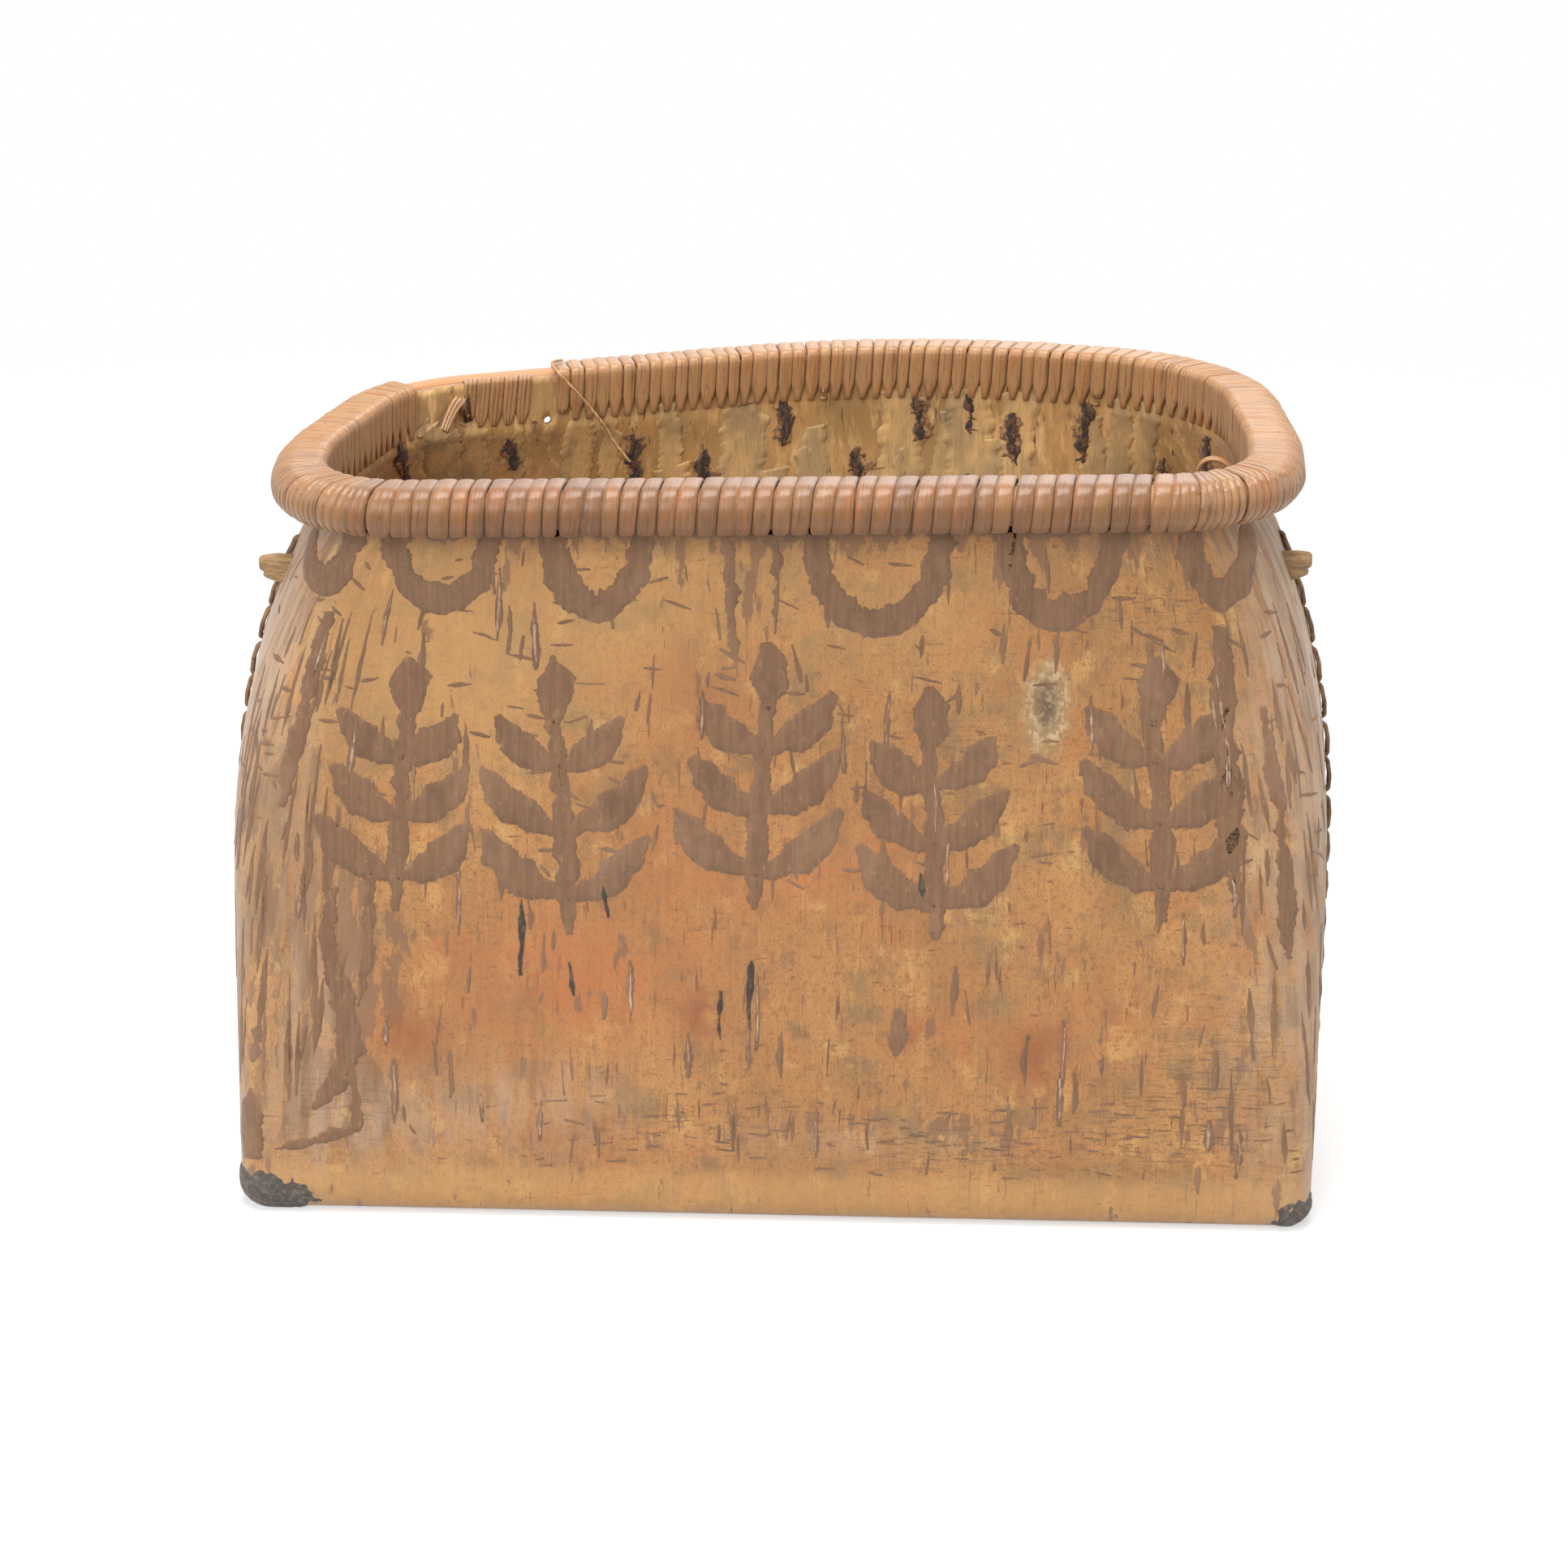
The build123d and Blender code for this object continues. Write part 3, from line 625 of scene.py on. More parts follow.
def swell(x, height, front):
    """How far the bark stands out from its even form on the front or the back wall.

    Broad and small waves that die away to the corners, the base and the neck, and on
    the front the knot: a raised oval rim round a sunken middle.
    """
    calm = smooth_step(8, 40, height) * (1 - smooth_step(NECK_HEIGHT - 22, NECK_HEIGHT - 4, height))
    calm = calm * (1 - smooth_step(88, 118, np.abs(x)))
    out = 0.55 * waves(x, height, 75, 3 if front else 4) + 0.13 * waves(x, height, 17, 5 if front else 6)
    if front:
        ring = np.hypot((x - KNOT[0]) / KNOT[2], (height - KNOT[1]) / KNOT[3])
        out = out + 0.9 * np.exp(-(((ring - 1) / 0.28) ** 2)) - 0.9 * np.exp(-((ring / 0.55) ** 2))
        out = out + 0.35 * waves(x, height, 3.4, 8) * np.exp(-(ring**4))
    return out * calm


def shell_ring(height, inset, shrink, inside, step):
    """One girth of the shell in plan.

    Every height has the same columns, which run up the sheet as its fibres do. The step
    of a lap is one narrow column.
    """
    points, radii = lapped_girth(height, inset + shrink, inside, lap=LAP * step)
    ring = rounded(points, radii, SHELL_BENDS, SHELL_RUNS)
    front, back = ring[:, 1] < FRONT_DEPTH, ring[:, 1] > BACK_DEPTH
    ring[front, 1] -= swell(ring[front, 0], height, True)
    ring[back, 1] += swell(ring[back, 0], height, False)
    return ring


def shell_face(inside):
    """Points of one face of the bark by row and column, and the height of each row."""
    inset = BARK if inside else 0.0
    bend = FOLD - inset
    rows, heights = [], []
    for angle in np.linspace(0, math.pi / 2, 7):
        level = inset + bend * (1 - math.cos(angle))
        rows.append(tilted(shell_ring(level, 0.0, inset + bend * (1 - math.sin(angle)), inside, 1.0), level))
        heights.append(level)
    for height in np.linspace(FOLD, NECK_HEIGHT, WALL_ROWS)[1:]:
        step = 1 - 0.85 * float(smooth_step(NECK_HEIGHT - 8, NECK_HEIGHT, height))
        rows.append(tilted(shell_ring(height, inset, 0.0, inside, step), height))
        heights.append(height)
    plan = shell_ring(NECK_HEIGHT, inset, 0.0, inside, 0.15)
    for rise in np.linspace(0, NECK_DROP + BARK_TOP, 9)[1:]:
        rows.append(risen(plan, rise))
        heights.append(NECK_HEIGHT + rise)
    return np.stack(rows), np.array(heights)


bark_out, bark_heights = shell_face(False)
bark_in, _ = shell_face(True)
ROWS, COLUMNS = bark_out.shape[:2]


def sheet_lengths():
    """Length along the girth of each shell point.

    The front wall and its flaps are counted from the middle of the front, and the back
    sheet from 1000 at the middle of the back.
    """
    steps = np.linalg.norm(np.diff(bark_out, axis=1, append=bark_out[:, :1]), axis=2)
    walk = np.cumsum(steps, axis=1) - steps
    whole = steps.sum(1, keepdims=True)
    middle = slice(MIDDLE_COLUMN, MIDDLE_COLUMN + 1)
    lengths = walk - walk[:, middle] + bark_out[:, middle, 0]
    column = np.arange(COLUMNS)
    back = (column >= FRONT_COLUMNS) & (column < FRONT_COLUMNS + BACK_COLUMNS)
    lengths = np.where(back, lengths - whole / 2 + 1000.0, lengths)
    return np.where(column >= FRONT_COLUMNS + BACK_COLUMNS, lengths - whole, lengths)


bark_lengths = sheet_lengths()


def open_holes():
    """Draws the eight shell points round each open awl hole into a ring.

    Gives the number of the shell point in the middle of each hole.
    """
    middles = []
    for place in OPEN_HOLES:
        centre, ahead = rim_spot(np.array([place, place + 0.1]), np.zeros(2), np.full(2, -AWL_DROP))
        nearest = int(np.argmin(np.linalg.norm(bark_out.reshape(-1, 3) - centre, axis=1)))
        row, column = divmod(nearest, COLUMNS)
        along, up = unit(ahead - centre), np.array([0.0, 0.0, 1.0])
        outward = np.cross(along, up)
        for down, across in [(a, b) for a in (-1, 0, 1) for b in (-1, 0, 1) if a or b]:
            spoke = (along * across + up * down) / math.hypot(across, down) * HOLE_RADIUS
            bark_out[row + down, column + across] = centre + outward * BARK / 2 + spoke
            bark_in[row + down, column + across] = centre - outward * BARK / 2 + spoke
        middles.append(nearest)
    return middles


hole_points = open_holes()
front_order = np.r_[FRONT_COLUMNS + BACK_COLUMNS : COLUMNS, 0:FRONT_COLUMNS]
back_order = np.arange(FRONT_COLUMNS, FRONT_COLUMNS + BACK_COLUMNS)


def row_of(height):
    """Row of the shell at a height of the walls."""
    return np.interp(height, bark_heights, np.arange(ROWS))


def fibre_lengths():
    """Length along the girth by which the fibres are counted at each shell point.

    In the middle of a sheet it is the point's own length, so the fibres stand upright.
    Towards a sheet's edge it takes up, by a smooth step, the difference between the
    row's half length and that of the row at 90 mm, so there they run along the edge.
    """
    lengths = bark_lengths.copy()
    level = int(row_of(90.0))
    for order, middle in ((front_order, 0.0), (back_order, 1000.0)):
        away = bark_lengths[:, order] - middle
        for sign, edge in ((-1, 0), (1, -1)):
            half = np.abs(away[:, edge])[:, None]
            taken = smooth_step(0.4, 1.0, np.abs(away) / half) * (away * sign > 0)
            lengths[:, order] += sign * (half[level] - half) * taken
    return lengths


fibre_rows = fibre_lengths()


def on_bark(length, row, lift, side="front", counted=bark_lengths):
    """Points off the bark at a length along the girth and a row of the shell, both arrays.

    The point is found between the four nearest shell points, and moved by the lift
    along the normal there. The side is front or back, or inside for the back sheet's
    inner face. Lengths are counted from the middle, or with fibre_rows by the fibres.
    """
    face = bark_in if side == "inside" else bark_out
    order = front_order if side == "front" else back_order

    def found(length, row):
        row = np.clip(row, 0, ROWS - 1.001)
        low = np.floor(row).astype(int)
        out = np.zeros((*length.shape, 3))
        for number in np.unique(np.concatenate([low.ravel(), low.ravel() + 1])):
            share = np.where(low == number, 1 - (row - low), np.where(low + 1 == number, row - low, 0.0))
            used = share > 0
            line = face[number, order]
            for axis in range(3):
                value = np.interp(length[used], counted[number, order], line[:, axis])
                out[..., axis][used] += share[used] * value
        return out

    along = found(length + 0.6, row) - found(length - 0.6, row)
    upward = found(length, row + 0.3) - found(length, row - 0.3)
    normal = unit(np.cross(along, upward)) * (-1 if side == "inside" else 1)
    return found(length, row) + normal * lift[..., None]


def spots_of(x, z, marks):
    """Sum of soft spots: each is exp of minus the squared distance from its middle."""
    total = np.zeros(len(x))
    for middle, height, wide, tall, strength in marks:
        total += strength * np.exp(-(((x - middle) / wide) ** 2) - ((z - height) / tall) ** 2)
    return total


def bark_shell(outer, inner):
    """The folded sheet: outer face, inner face, top edge and awl holes of the bare stretch."""
    count = ROWS * COLUMNS
    sheet = np.stack(np.broadcast_arrays(fibre_rows, bark_heights[:, None]), -1).reshape(-1, 2) * MM
    cells = grid_faces(ROWS, COLUMNS, close_columns=True)
    pairs = sheet[cells].copy()
    cell_column = cells[:, 0] % COLUMNS
    for edge in (FRONT_COLUMNS - 1, FRONT_COLUMNS + BACK_COLUMNS - 1):
        narrow = cell_column == edge
        pairs[narrow, 1:3, 0] = pairs[narrow, 0:1, 0]
    points = np.concatenate([bark_out.reshape(-1, 3), bark_in.reshape(-1, 3)])
    solid = ~np.isin(cells[:, [0, 0, 0, 0]] + [0, 1, COLUMNS, COLUMNS + 1], hole_points).any(1)
    outer_faces, inner_faces = cells[solid], cells[solid][:, ::-1] + count
    top = np.arange(COLUMNS) + (ROWS - 1) * COLUMNS
    beside = np.roll(top, -1)
    edge_faces = np.stack([top, beside, beside + count, top + count], 1)
    sides = np.concatenate([np.stack([outer_faces[:, k], outer_faces[:, (k + 1) % 4]], 1) for k in range(4)])
    lone = ~np.isin(sides[:, 0] * count + sides[:, 1], sides[:, 1] * count + sides[:, 0])
    at_rows = sides // COLUMNS
    a, b = sides[lone & (at_rows > 0).all(1) & (at_rows < ROWS - 1).all(1)].T
    hole_faces = np.stack([b, a, a + count, b + count], 1)
    base = ladder(COLUMNS)
    groups = [outer_faces, inner_faces, edge_faces, hole_faces, base[:, ::-1], base + count]
    uvs = [pairs[solid], pairs[solid][:, ::-1]] + [sheet[group % count] for group in groups[2:5]]
    uvs.append(points[base + count][:, :, :2] * MM)
    kinds = np.repeat([0, 1, 0, 0, 0, 1], [len(group) for group in groups])
    x, y, z = points.T
    front = y < FRONT_DEPTH
    knot_ring = np.hypot((x - KNOT[0]) / KNOT[2], (z - KNOT[1]) / KNOT[3])
    end = smooth_step(-70, -58, y) * (1 - smooth_step(20, 60, y))
    flap = smooth_step(-70, -60, y) * (1 - smooth_step(-10, 16, y)) * smooth_step(100, 118, np.abs(x))
    # grey patches of the front, plus painted sheen: greyer colour where the end walls turn away
    greyed_and_sheen = spots_of(x, z, GREYED_AND_SHEEN) * front + 0.85 * smooth_step(98, 116, np.abs(x)) * end
    facts = {
        "stain": spots_of(x, z, STAINS) * front,
        "grey_and_sheen": np.clip(greyed_and_sheen, 0, 1),
        "warm": spots_of(x, z, WARMED) * front,
        # painted light: the bottom fold made paler, plus paler patches of the front
        "pale_and_painted_light": (1 - smooth_step(11, 18, z)) * 0.9 + spots_of(x, z, PALED) * front,
        "cover": spots_of(x, z, COVERED) * front + 0.45 * flap + 0.35 * (y > 20),
        "mark": np.clip(spots_of(x, z, MARKED), 0, 1),
        "knot": np.exp(-((knot_ring / 1.2) ** 6)) * front,
        "pit": np.exp(-((knot_ring / 0.62) ** 4)) * front,
    }
    facts |= {"uv": np.concatenate(uvs), "kinds": kinds}
    name, faces = "bark_sheet_folded", np.vstack(groups)
    return piece(name, points, faces, [outer, inner], "birch_bark", ["bark_sheet"], **facts)


# Stained, warm, pale and greyed places: middle, height, half width, half height, strength.
# The tall greyed strips at the ends are painted sheen on the wall corners
STAINS = [(71.6, 51.5, 7, 9, 0.9), (-101, 52.5, 9, 8, 0.8), (-21, 61, 6, 9, 0.7)]
STAINS += [(-19, 154, 13, 12, 0.35), (35, 55.5, 6, 7, 0.6), (-60, 25, 22, 9, 0.35)]
WARMED = [(-60, 72, 42, 22, 0.9), (-20, 110, 40, 22, 0.45), (-25, 155, 16, 14, 0.6)]
WARMED += [(75, 60, 30, 14, 0.4), (20, 100, 30, 14, 0.4)]
PALED = [(-88, 165, 50, 34, 1.1), (-20, 178, 40, 22, 0.5), (40, 178, 40, 20, 0.5)]
# strips near x = ±130 are painted sheen where the walls turn; the others are grey patches
GREYED_AND_SHEEN = [(-105, 28, 34, 12, 0.6), (-128, 60, 12, 42, 0.55), (-62, 34, 22, 12, 0.5), (138, 70, 14, 60, 0.6)]
GREYED_AND_SHEEN += [(132, 160, 12, 50, 0.6), (-132, 150, 10, 40, 0.5), (20, 24, 40, 6, 0.3)]
# Places where much of the brown film is left
COVERED = [(-134, 110, 12, 90, 0.55), (136, 120, 12, 90, 0.45), (-112, 75, 13, 30, 0.8)]
COVERED += [(-118, 35, 16, 16, 0.8), (0, 199, 200, 8, 0.6), (120, 40, 14, 14, 0.4)]
COVERED += [(-10, 185, 12, 12, 0.5), (30, 30, 60, 7, 0.35)]
# Places with broken level lines, most of them near the bottom fold
MARKED = [(-30, 27, 26, 6, 0.7), (48, 23, 34, 7, 0.8), (104, 30, 20, 9, 0.7), (120, 42, 22, 26, 0.7)]
MARKED += [(-120, 30, 20, 16, 0.5), (95, 178, 22, 8, 0.7), (45, 140, 22, 8, 0.5)]


# Film left on the front wall: the row of loops under the rim and a band of leaf sprigs

# Cut across a band: sideways as a share of half its width, up as a share of its lift
BAND_CUT = [(-1, -0.4), (-0.97, 0.7), (-0.5, 1), (0, 1), (0.5, 1), (0.97, 0.7), (1, -0.4), (0, -0.5)]
BAND_CUT = np.array(BAND_CUT, float)


def band(path, widths, lift, source, ragged=0.9, step=0.7):
    """Thin raised band along a path of (length, height) points, with torn edges.

    Gives its points as (length, height, lift) and its faces. Its cut is a low dome whose
    feet are sunk in the bark. Each edge strays from the band's width by smooth random
    steps.
    """
    path = softened(np.asarray(path, float), 3)
    walk = np.concatenate([[0.0], np.cumsum(np.hypot(*np.diff(path, axis=0).T))])
    count = max(5, int(walk[-1] / step))
    along = np.linspace(0, walk[-1], count)
    middle = np.stack([np.interp(along, walk, path[:, axis]) for axis in (0, 1)], -1)
    travel = unit(np.gradient(middle, axis=0))
    across = np.stack([-travel[:, 1], travel[:, 0]], -1)
    width = np.interp(along / walk[-1], np.linspace(0, 1, len(widths)), widths) / 2
    coarse = source.normal(0, 1, (2, count // 4 + 3))
    marks = np.arange(count) / 4
    coarse = np.stack([np.interp(marks, np.arange(coarse.shape[1]), row) for row in coarse])
    stray = (coarse * 0.42 + source.normal(0, 0.16, (2, count))) * ragged
    half = np.maximum(width + stray, 0.12)
    side = np.where(BAND_CUT[None, :, 0] < 0, half[0][:, None], half[1][:, None]) * BAND_CUT[None, :, 0]
    flat = middle[:, None] + across[:, None] * side[..., None]
    rise = np.broadcast_to(BAND_CUT[None, :, 1:] * lift, (count, 8, 1))
    return np.concatenate([flat, rise], -1).reshape(-1, 3), tube_faces(count, 8)


def laid(name, bands, material, side="front", counted=bark_lengths):
    """Piece of many bands laid on one side of the bark."""
    flat, faces = joined(bands)
    points = on_bark(flat[:, 0], row_of(flat[:, 1]), flat[:, 2], side, counted)
    return piece(name, points, faces if side == "inside" else faces[:, ::-1], [material], "birch_bark")


def joined(meshes):
    """One mesh of several (points, faces)."""
    starts = np.cumsum([0] + [len(points) for points, _ in meshes[:-1]])
    faces = np.vstack([faces + start for (_, faces), start in zip(meshes, starts)])
    return np.concatenate([points for points, _ in meshes]), faces


def loop_band(middle, bottom, half, source):
    """One hanging loop: half an oval, open at the rim."""
    turn = np.linspace(0, math.pi, 14)
    top = 203.0
    path = np.stack([middle - half * np.cos(turn), top - (top - bottom) * np.sin(turn) ** 0.8], -1)
    return band(path, [6.5, 7.5, 8.5, 7.5, 6.5], FILM, source, 1.6)


def sprig_bands(middle, foot, top, lean_by, leaf, source):
    """A stem with pairs of leaves and one leaf at its tip, from foot to top."""
    rise = top - foot
    stem = [(middle, foot), (middle + lean_by * 0.4, foot + rise * 0.5), (middle + lean_by, top - leaf * 0.6)]
    bands = [band(stem, [1.5, 5.0, 6.0, 5.5, 5.0, 4.6, 4.2], FILM, source, 1.2)]
    for share in (0.14, 0.40, 0.65):
        for way in (-1, 1):
            x, z = middle + lean_by * share, foot + rise * share
            size = leaf * (1.2 - 0.45 * share) * source.uniform(0.9, 1.1)
            path = [(x, z), (x + way * size * 0.6, z + size * 0.25), (x + way * size, z + size * 0.85)]
            bands.append(band(path, [2.2, 7.5, 10.5, 8.0, 1.4], FILM, source, 1.3))
    x = middle + lean_by
    tip = [(x, top - leaf * 0.7), (x + 1, top - leaf * 0.2), (x, top + leaf * 0.3)]
    bands.append(band(tip, [2.0, 9.0, 11.0, 1.4], FILM, source, 1.3))
    return bands


def flecks(groups, source):
    """Scattered short bands: each starts anywhere within its group's lengths and heights."""
    bands = []
    for count, long, wide, slant, sides, heights in groups:
        lift = FILM * (0.7 if wide[1] < 1 else 0.8)
        for _ in range(count):
            x, z = source.uniform(*sides), source.uniform(*heights)
            size, angle = source.uniform(*long), math.radians(source.normal(*slant))
            end = (x + size * math.cos(angle), min(max(z + size * math.sin(angle), 12.0), 201.0))
            width = source.uniform(*wide)
            bands.append(band([(x, z), end], [0.3, width, width * 0.8, 0.2], lift, source, 0.35, 0.8))
    return bands


def smears(marks, source):
    """Bands of film left in given places: a path and widths for each."""
    return [band(path, widths, FILM, source, 1.5) for path, widths in marks]


def lenticels(source):
    """Short upright corky lines of the front: brown borders, and paler cores laid on most."""
    borders, cores = [], []
    placed = np.random.default_rng(12)
    for x, z, size, width in zip(*[placed.uniform(*limits, LENTICEL_COUNT) for limits in LENTICELS]):
        path = [(x, z), (x + source.normal(0, 0.3), z + size * 0.5), (x + source.normal(0, 0.4), z + size)]
        borders.append(band(path, [0.5, width, width * 1.2, width * 0.8, 0.4], FILM, source, 0.6))
        if source.uniform() < 0.55:
            inner = [(x, z + size * 0.12), (path[1][0], z + size * 0.5), (path[2][0], z + size * 0.88)]
            cores.append(band(inner, [0.2, width * 0.5, width * 0.4, 0.2], FILM * 1.7, source, 0.35))
    return borders, cores


def back_path(x, heights, drift=0.0):
    """Path up the inner back wall that stays at a place along X, but for a drift."""
    path = []
    for step, height in enumerate(heights):
        row = int(row_of(height))
        seen = back_order[bark_in[row, back_order, 1] > 20]
        length = np.interp(-x, -bark_in[row, seen, 0], bark_lengths[row, seen])
        path.append((length + drift * step, height))
    return path


def inner_scars(source):
    """Rough black lines of the bark's outer face, inside on the back wall.

    Gives the black cracked cores with their side cracks, and the brown cork round them.
    """
    cores, halos = [], []
    for x in INNER_SCARS:
        low = source.uniform(60, 150)
        while low < 190:
            high = min(low + source.uniform(10, 34), 199.0)
            spine = back_path(x + source.normal(0, 0.8), (low, (low + high) / 2, high), source.normal(0, 0.6))
            width = source.uniform(1.6, 3.4)
            cores.append(band(spine, [0.3, width, width * 0.6, width * 1.2, 0.3], 0.7, source, 1.5))
            halos.append(band(spine, [2.0, width + 2.8, width + 1.8, width + 3.2, 1.5], 0.35, source, 2.6))
            lengths, levels = np.transpose(spine)
            for z in np.arange(low + 1.5, high - 1, 3.4):
                length = float(np.interp(z, levels, lengths))
                start, stop = length - source.uniform(0.6, 2.4), length + source.uniform(0.6, 2.4)
                crack = [(start, z + source.normal(0, 1.2)), (length, z), (stop, z + source.normal(0, 1.2))]
                cores.append(band(crack, [0.15, 0.8, 0.15], 0.6, source, 0.4, 0.5))
            low = high + source.uniform(3, 14)
    return cores, halos


def paper_layers(count, source, wide):
    """Torn layers of papery bark that stand up a little from the inner back wall."""
    bands = []
    for _ in range(count):
        x, z = source.uniform(-112, 118), source.uniform(50, 175)
        top = min(z + source.uniform(15, 70), 200.5)
        width = source.uniform(*wide)
        path = back_path(x, (z, (z + top) / 2, top), source.normal(0, 0.7))
        widths = [width * source.uniform(0.3, 0.9), width, width, width * source.uniform(0.4, 1)]
        bands.append(band(path, widths, source.uniform(0.2, 0.5), source, 1.6))
    return bands


FILM = 0.16  # thickness
# Loops: middle, bottom and half width
LOOPS = [(-123.7, 184, 10), (-89.4, 180, 13), (-48.5, 177, 12)]
LOOPS += [(25.7, 173, 17), (73.9, 175, 14), (117, 181, 10)]
# Sprigs: middle, foot, top, lean and size of a leaf
SPRIGS = [(-103, 90, 158, 4, 18), (-56, 84, 158, -4, 20), (-6, 92, 162, 3, 19)]
SPRIGS += [(43, 84, 150, -3, 18), (104, 90, 158, -4, 19)]
# Flecks: count, least and most length and width, slant and its spread, lengths and heights
FRONT_FLECKS = [
    (150, (2, 8), (0.5, 1.5), (-8, 14), (-165, 165), (100, 192)),
    (150, (3, 12), (0.5, 1.4), (90, 7), (-175, 175), (14, 192)),
    (80, (1.5, 6), (0.4, 0.9), (0, 6), (-70, 138), (14, 38)),
    (60, (8, 30), (0.8, 2.4), (90, 3), (-160, -118), (14, 160)),
    (45, (8, 26), (0.7, 2.0), (90, 3), (122, 160), (14, 160)),
]
BACK_FLECKS = [
    (190, (3, 16), (0.6, 1.8), (90, 6), (800, 1200), (14, 192)),
    (70, (2, 8), (0.5, 1.5), (-5, 12), (800, 1200), (14, 192)),
]
INNER_SCARS = (-110, -79, -44, -25.5, -3, 19, 35, 50, 64, 84, 106, 118)
# Film left in ragged strips: a path of lengths and heights, and its widths
SMEARS = [
    (
        [(-132, 199.5), (-60, 199.6), (0, 199.4), (70, 199.6), (128, 199.5)],
        [6.0, 4.5, 6.5, 4.0, 6.0, 5.0, 6.5, 4.5, 6.0],
    ),
    (
        [(-120, 97), (-122, 84), (-119, 72), (-116, 60), (-115, 50), (-118, 40), (-124, 31)],
        [1, 4.5, 3.5, 6.5, 6, 7.5, 6, 2],
    ),
    ([(-110.5, 102), (-110, 86), (-111, 72), (-113, 62)], [1.5, 3.5, 3.0, 2.5, 1]),
    ([(-114.5, 46), (-114, 34), (-111.5, 26.5), (-120, 22.5), (-133, 19)], [1.2, 1.6, 2.8, 3.6, 3.2, 1]),
    ([(-140, 36), (-141, 26), (-139, 15)], [2, 8, 9, 6]),
    ([(-138, 56), (-139.5, 44)], [1, 3, 3.5, 1]),
    ([(-14, 199), (-13, 178), (-11, 158)], [4, 2.5, 3.5, 1.5, 1]),
    ([(-2, 199), (0, 186), (-1, 170)], [3, 2.5, 1.5, 0.8]),
    ([(62, 199), (60, 183)], [2.5, 2, 0.8]),
    ([(33, 50), (34, 57), (33, 64)], [1, 4.5, 5.5, 4.0, 1]),
    ([(126, 172), (124, 150), (122, 132), (124, 96)], [4, 8, 6, 9, 7, 3]),
    ([(136, 150), (137, 120), (138, 80)], [2, 5, 3, 5, 2]),
    ([(-136, 176), (-134, 150), (-137, 120)], [3, 7, 4, 6, 2]),
]
# Lenticels that have gone black
BLACKENED = [
    ([(-6.8, 57), (-7.4, 66), (-6.6, 77)], [0.6, 1.6, 1.0, 2.4, 2.4, 1.0]),
    ([(-69.5, 72), (-68.8, 82), (-69, 94)], [0.8, 1.4, 1.0, 2.0, 1.6, 0.6]),
    ([(-15, 54), (-15.4, 61), (-15, 68)], [0.5, 1.4, 0.9, 1.7, 0.6]),
    ([(-45.5, 89), (-47, 98)], [0.6, 1.5, 0.8, 1.6, 0.6]),
    ([(39.4, 96), (38.6, 103)], [0.5, 1.6, 1.2, 0.4]),
    ([(-55, 66), (-56, 76)], [0.4, 1.2, 0.5]),
]
# Lenticels of the front: least and most of middle, foot, length and width
LENTICELS = ((-135, 138), (10, 178), (8, 22), (0.9, 1.9))
LENTICEL_COUNT = 62


# Hoop, thongs, gum and fibre

HOOP_CUTS = 460
# Gum on a front bottom corner: its two ends along the girth, middle, width and height
GUM_RIGHT = ((124, 168), 148.0, 9.0, 5.0)
GUM_LEFT = ((-170, -118), -146.0, 17.0, 7.5)


def hoop(material):
    """The bent hoop: its rounded cut carried round the rim line, a little uneven."""
    out, half = HOOP_IN + HOOP_THICKNESS, HOOP_HEIGHT / 2
    corners = [(HOOP_IN, -half), (out, -half), (out, half), (HOOP_IN, half)]
    ring = rounded(corners, [HOOP_EASE, HOOP_ROUND, HOOP_ROUND, HOOP_EASE], [3, 7, 7, 3], [2, 1, 2, 3])
    place = np.arange(HOOP_CUTS) / HOOP_CUTS * PLACES
    turn = np.arange(len(ring)) / len(ring) * TAU
    uneven = 0.10 * waves(place[:, None] * 4.5, turn[None] * 6, 60, 11)
    inner = 1 - 0.012 * (1 + uneven)
    core = np.array([HOOP_IN + HOOP_THICKNESS / 2, 0.0])
    cut = core + (ring[None] - core) * inner[..., None]
    places = np.broadcast_to(place[:, None], cut.shape[:2])
    points = rim_spot(places, cut[..., 0], cut[..., 1])
    faces = grid_faces(HOOP_CUTS, len(ring), close_rows=True, close_columns=True)
    walk = place / PLACES * rim_length * MM
    uv = np.stack(np.broadcast_arrays(walk[:, None], turn[None] * 0.004), -1).reshape(-1, 2)[faces]
    return piece("rim_hoop_bent", points.reshape(-1, 3), faces, [material], "hoop_wood", ["rim_hoop"], uv=uv)


def thong(right, material):
    """Hide thong through its slit: two straps that lap, the upper one longer, with blunt ends.

    Each strap runs through softened spots off the inner and the outer face, and its width
    and thickness change in straight steps along it.
    """
    source = np.random.default_rng(60 + right)
    meshes = []
    for lift, wide, reach in STRAPS:
        out = THONG_OUT * reach * (1.0 if right else 1.15)
        rows = [
            (THONG_IN, True, -4.5 + lift * 1.1),
            (THONG_IN * 0.5, True, -1.2 + lift),
            (0.0, True, lift),
            (0.0, False, lift),
            (out * 0.5, False, 0.3 + lift * 0.95),
            (out, False, 0.8 + lift * 0.6 + source.normal(0, 0.2)),
        ]
        spots = [end_spot(right, THONG_HEIGHT, THONG_DEPTH, away, inside) for away, inside, _ in rows]
        spots = softened(np.array(spots) + np.array([(0, 0, up) for _, _, up in rows]))
        share = np.linspace(0, 1, len(spots))
        width = wide * np.interp(share, [0, 0.15, 0.72, 0.9, 1], [0.6, 1, 1, 0.85, 0.5])
        across = np.tile([0.0, 0.0, 1.0], (len(spots), 1))
        thick = np.interp(share, [0, 0.7, 1], [1.6, 2.0, 1.2])
        meshes.append(strand_mesh(spots, across, width, thick)[:2])
    points, faces = joined(meshes)
    node = "thong_right" if right else "thong_left"
    return piece(node + "_torn", points, faces, [material], "hide", [node])


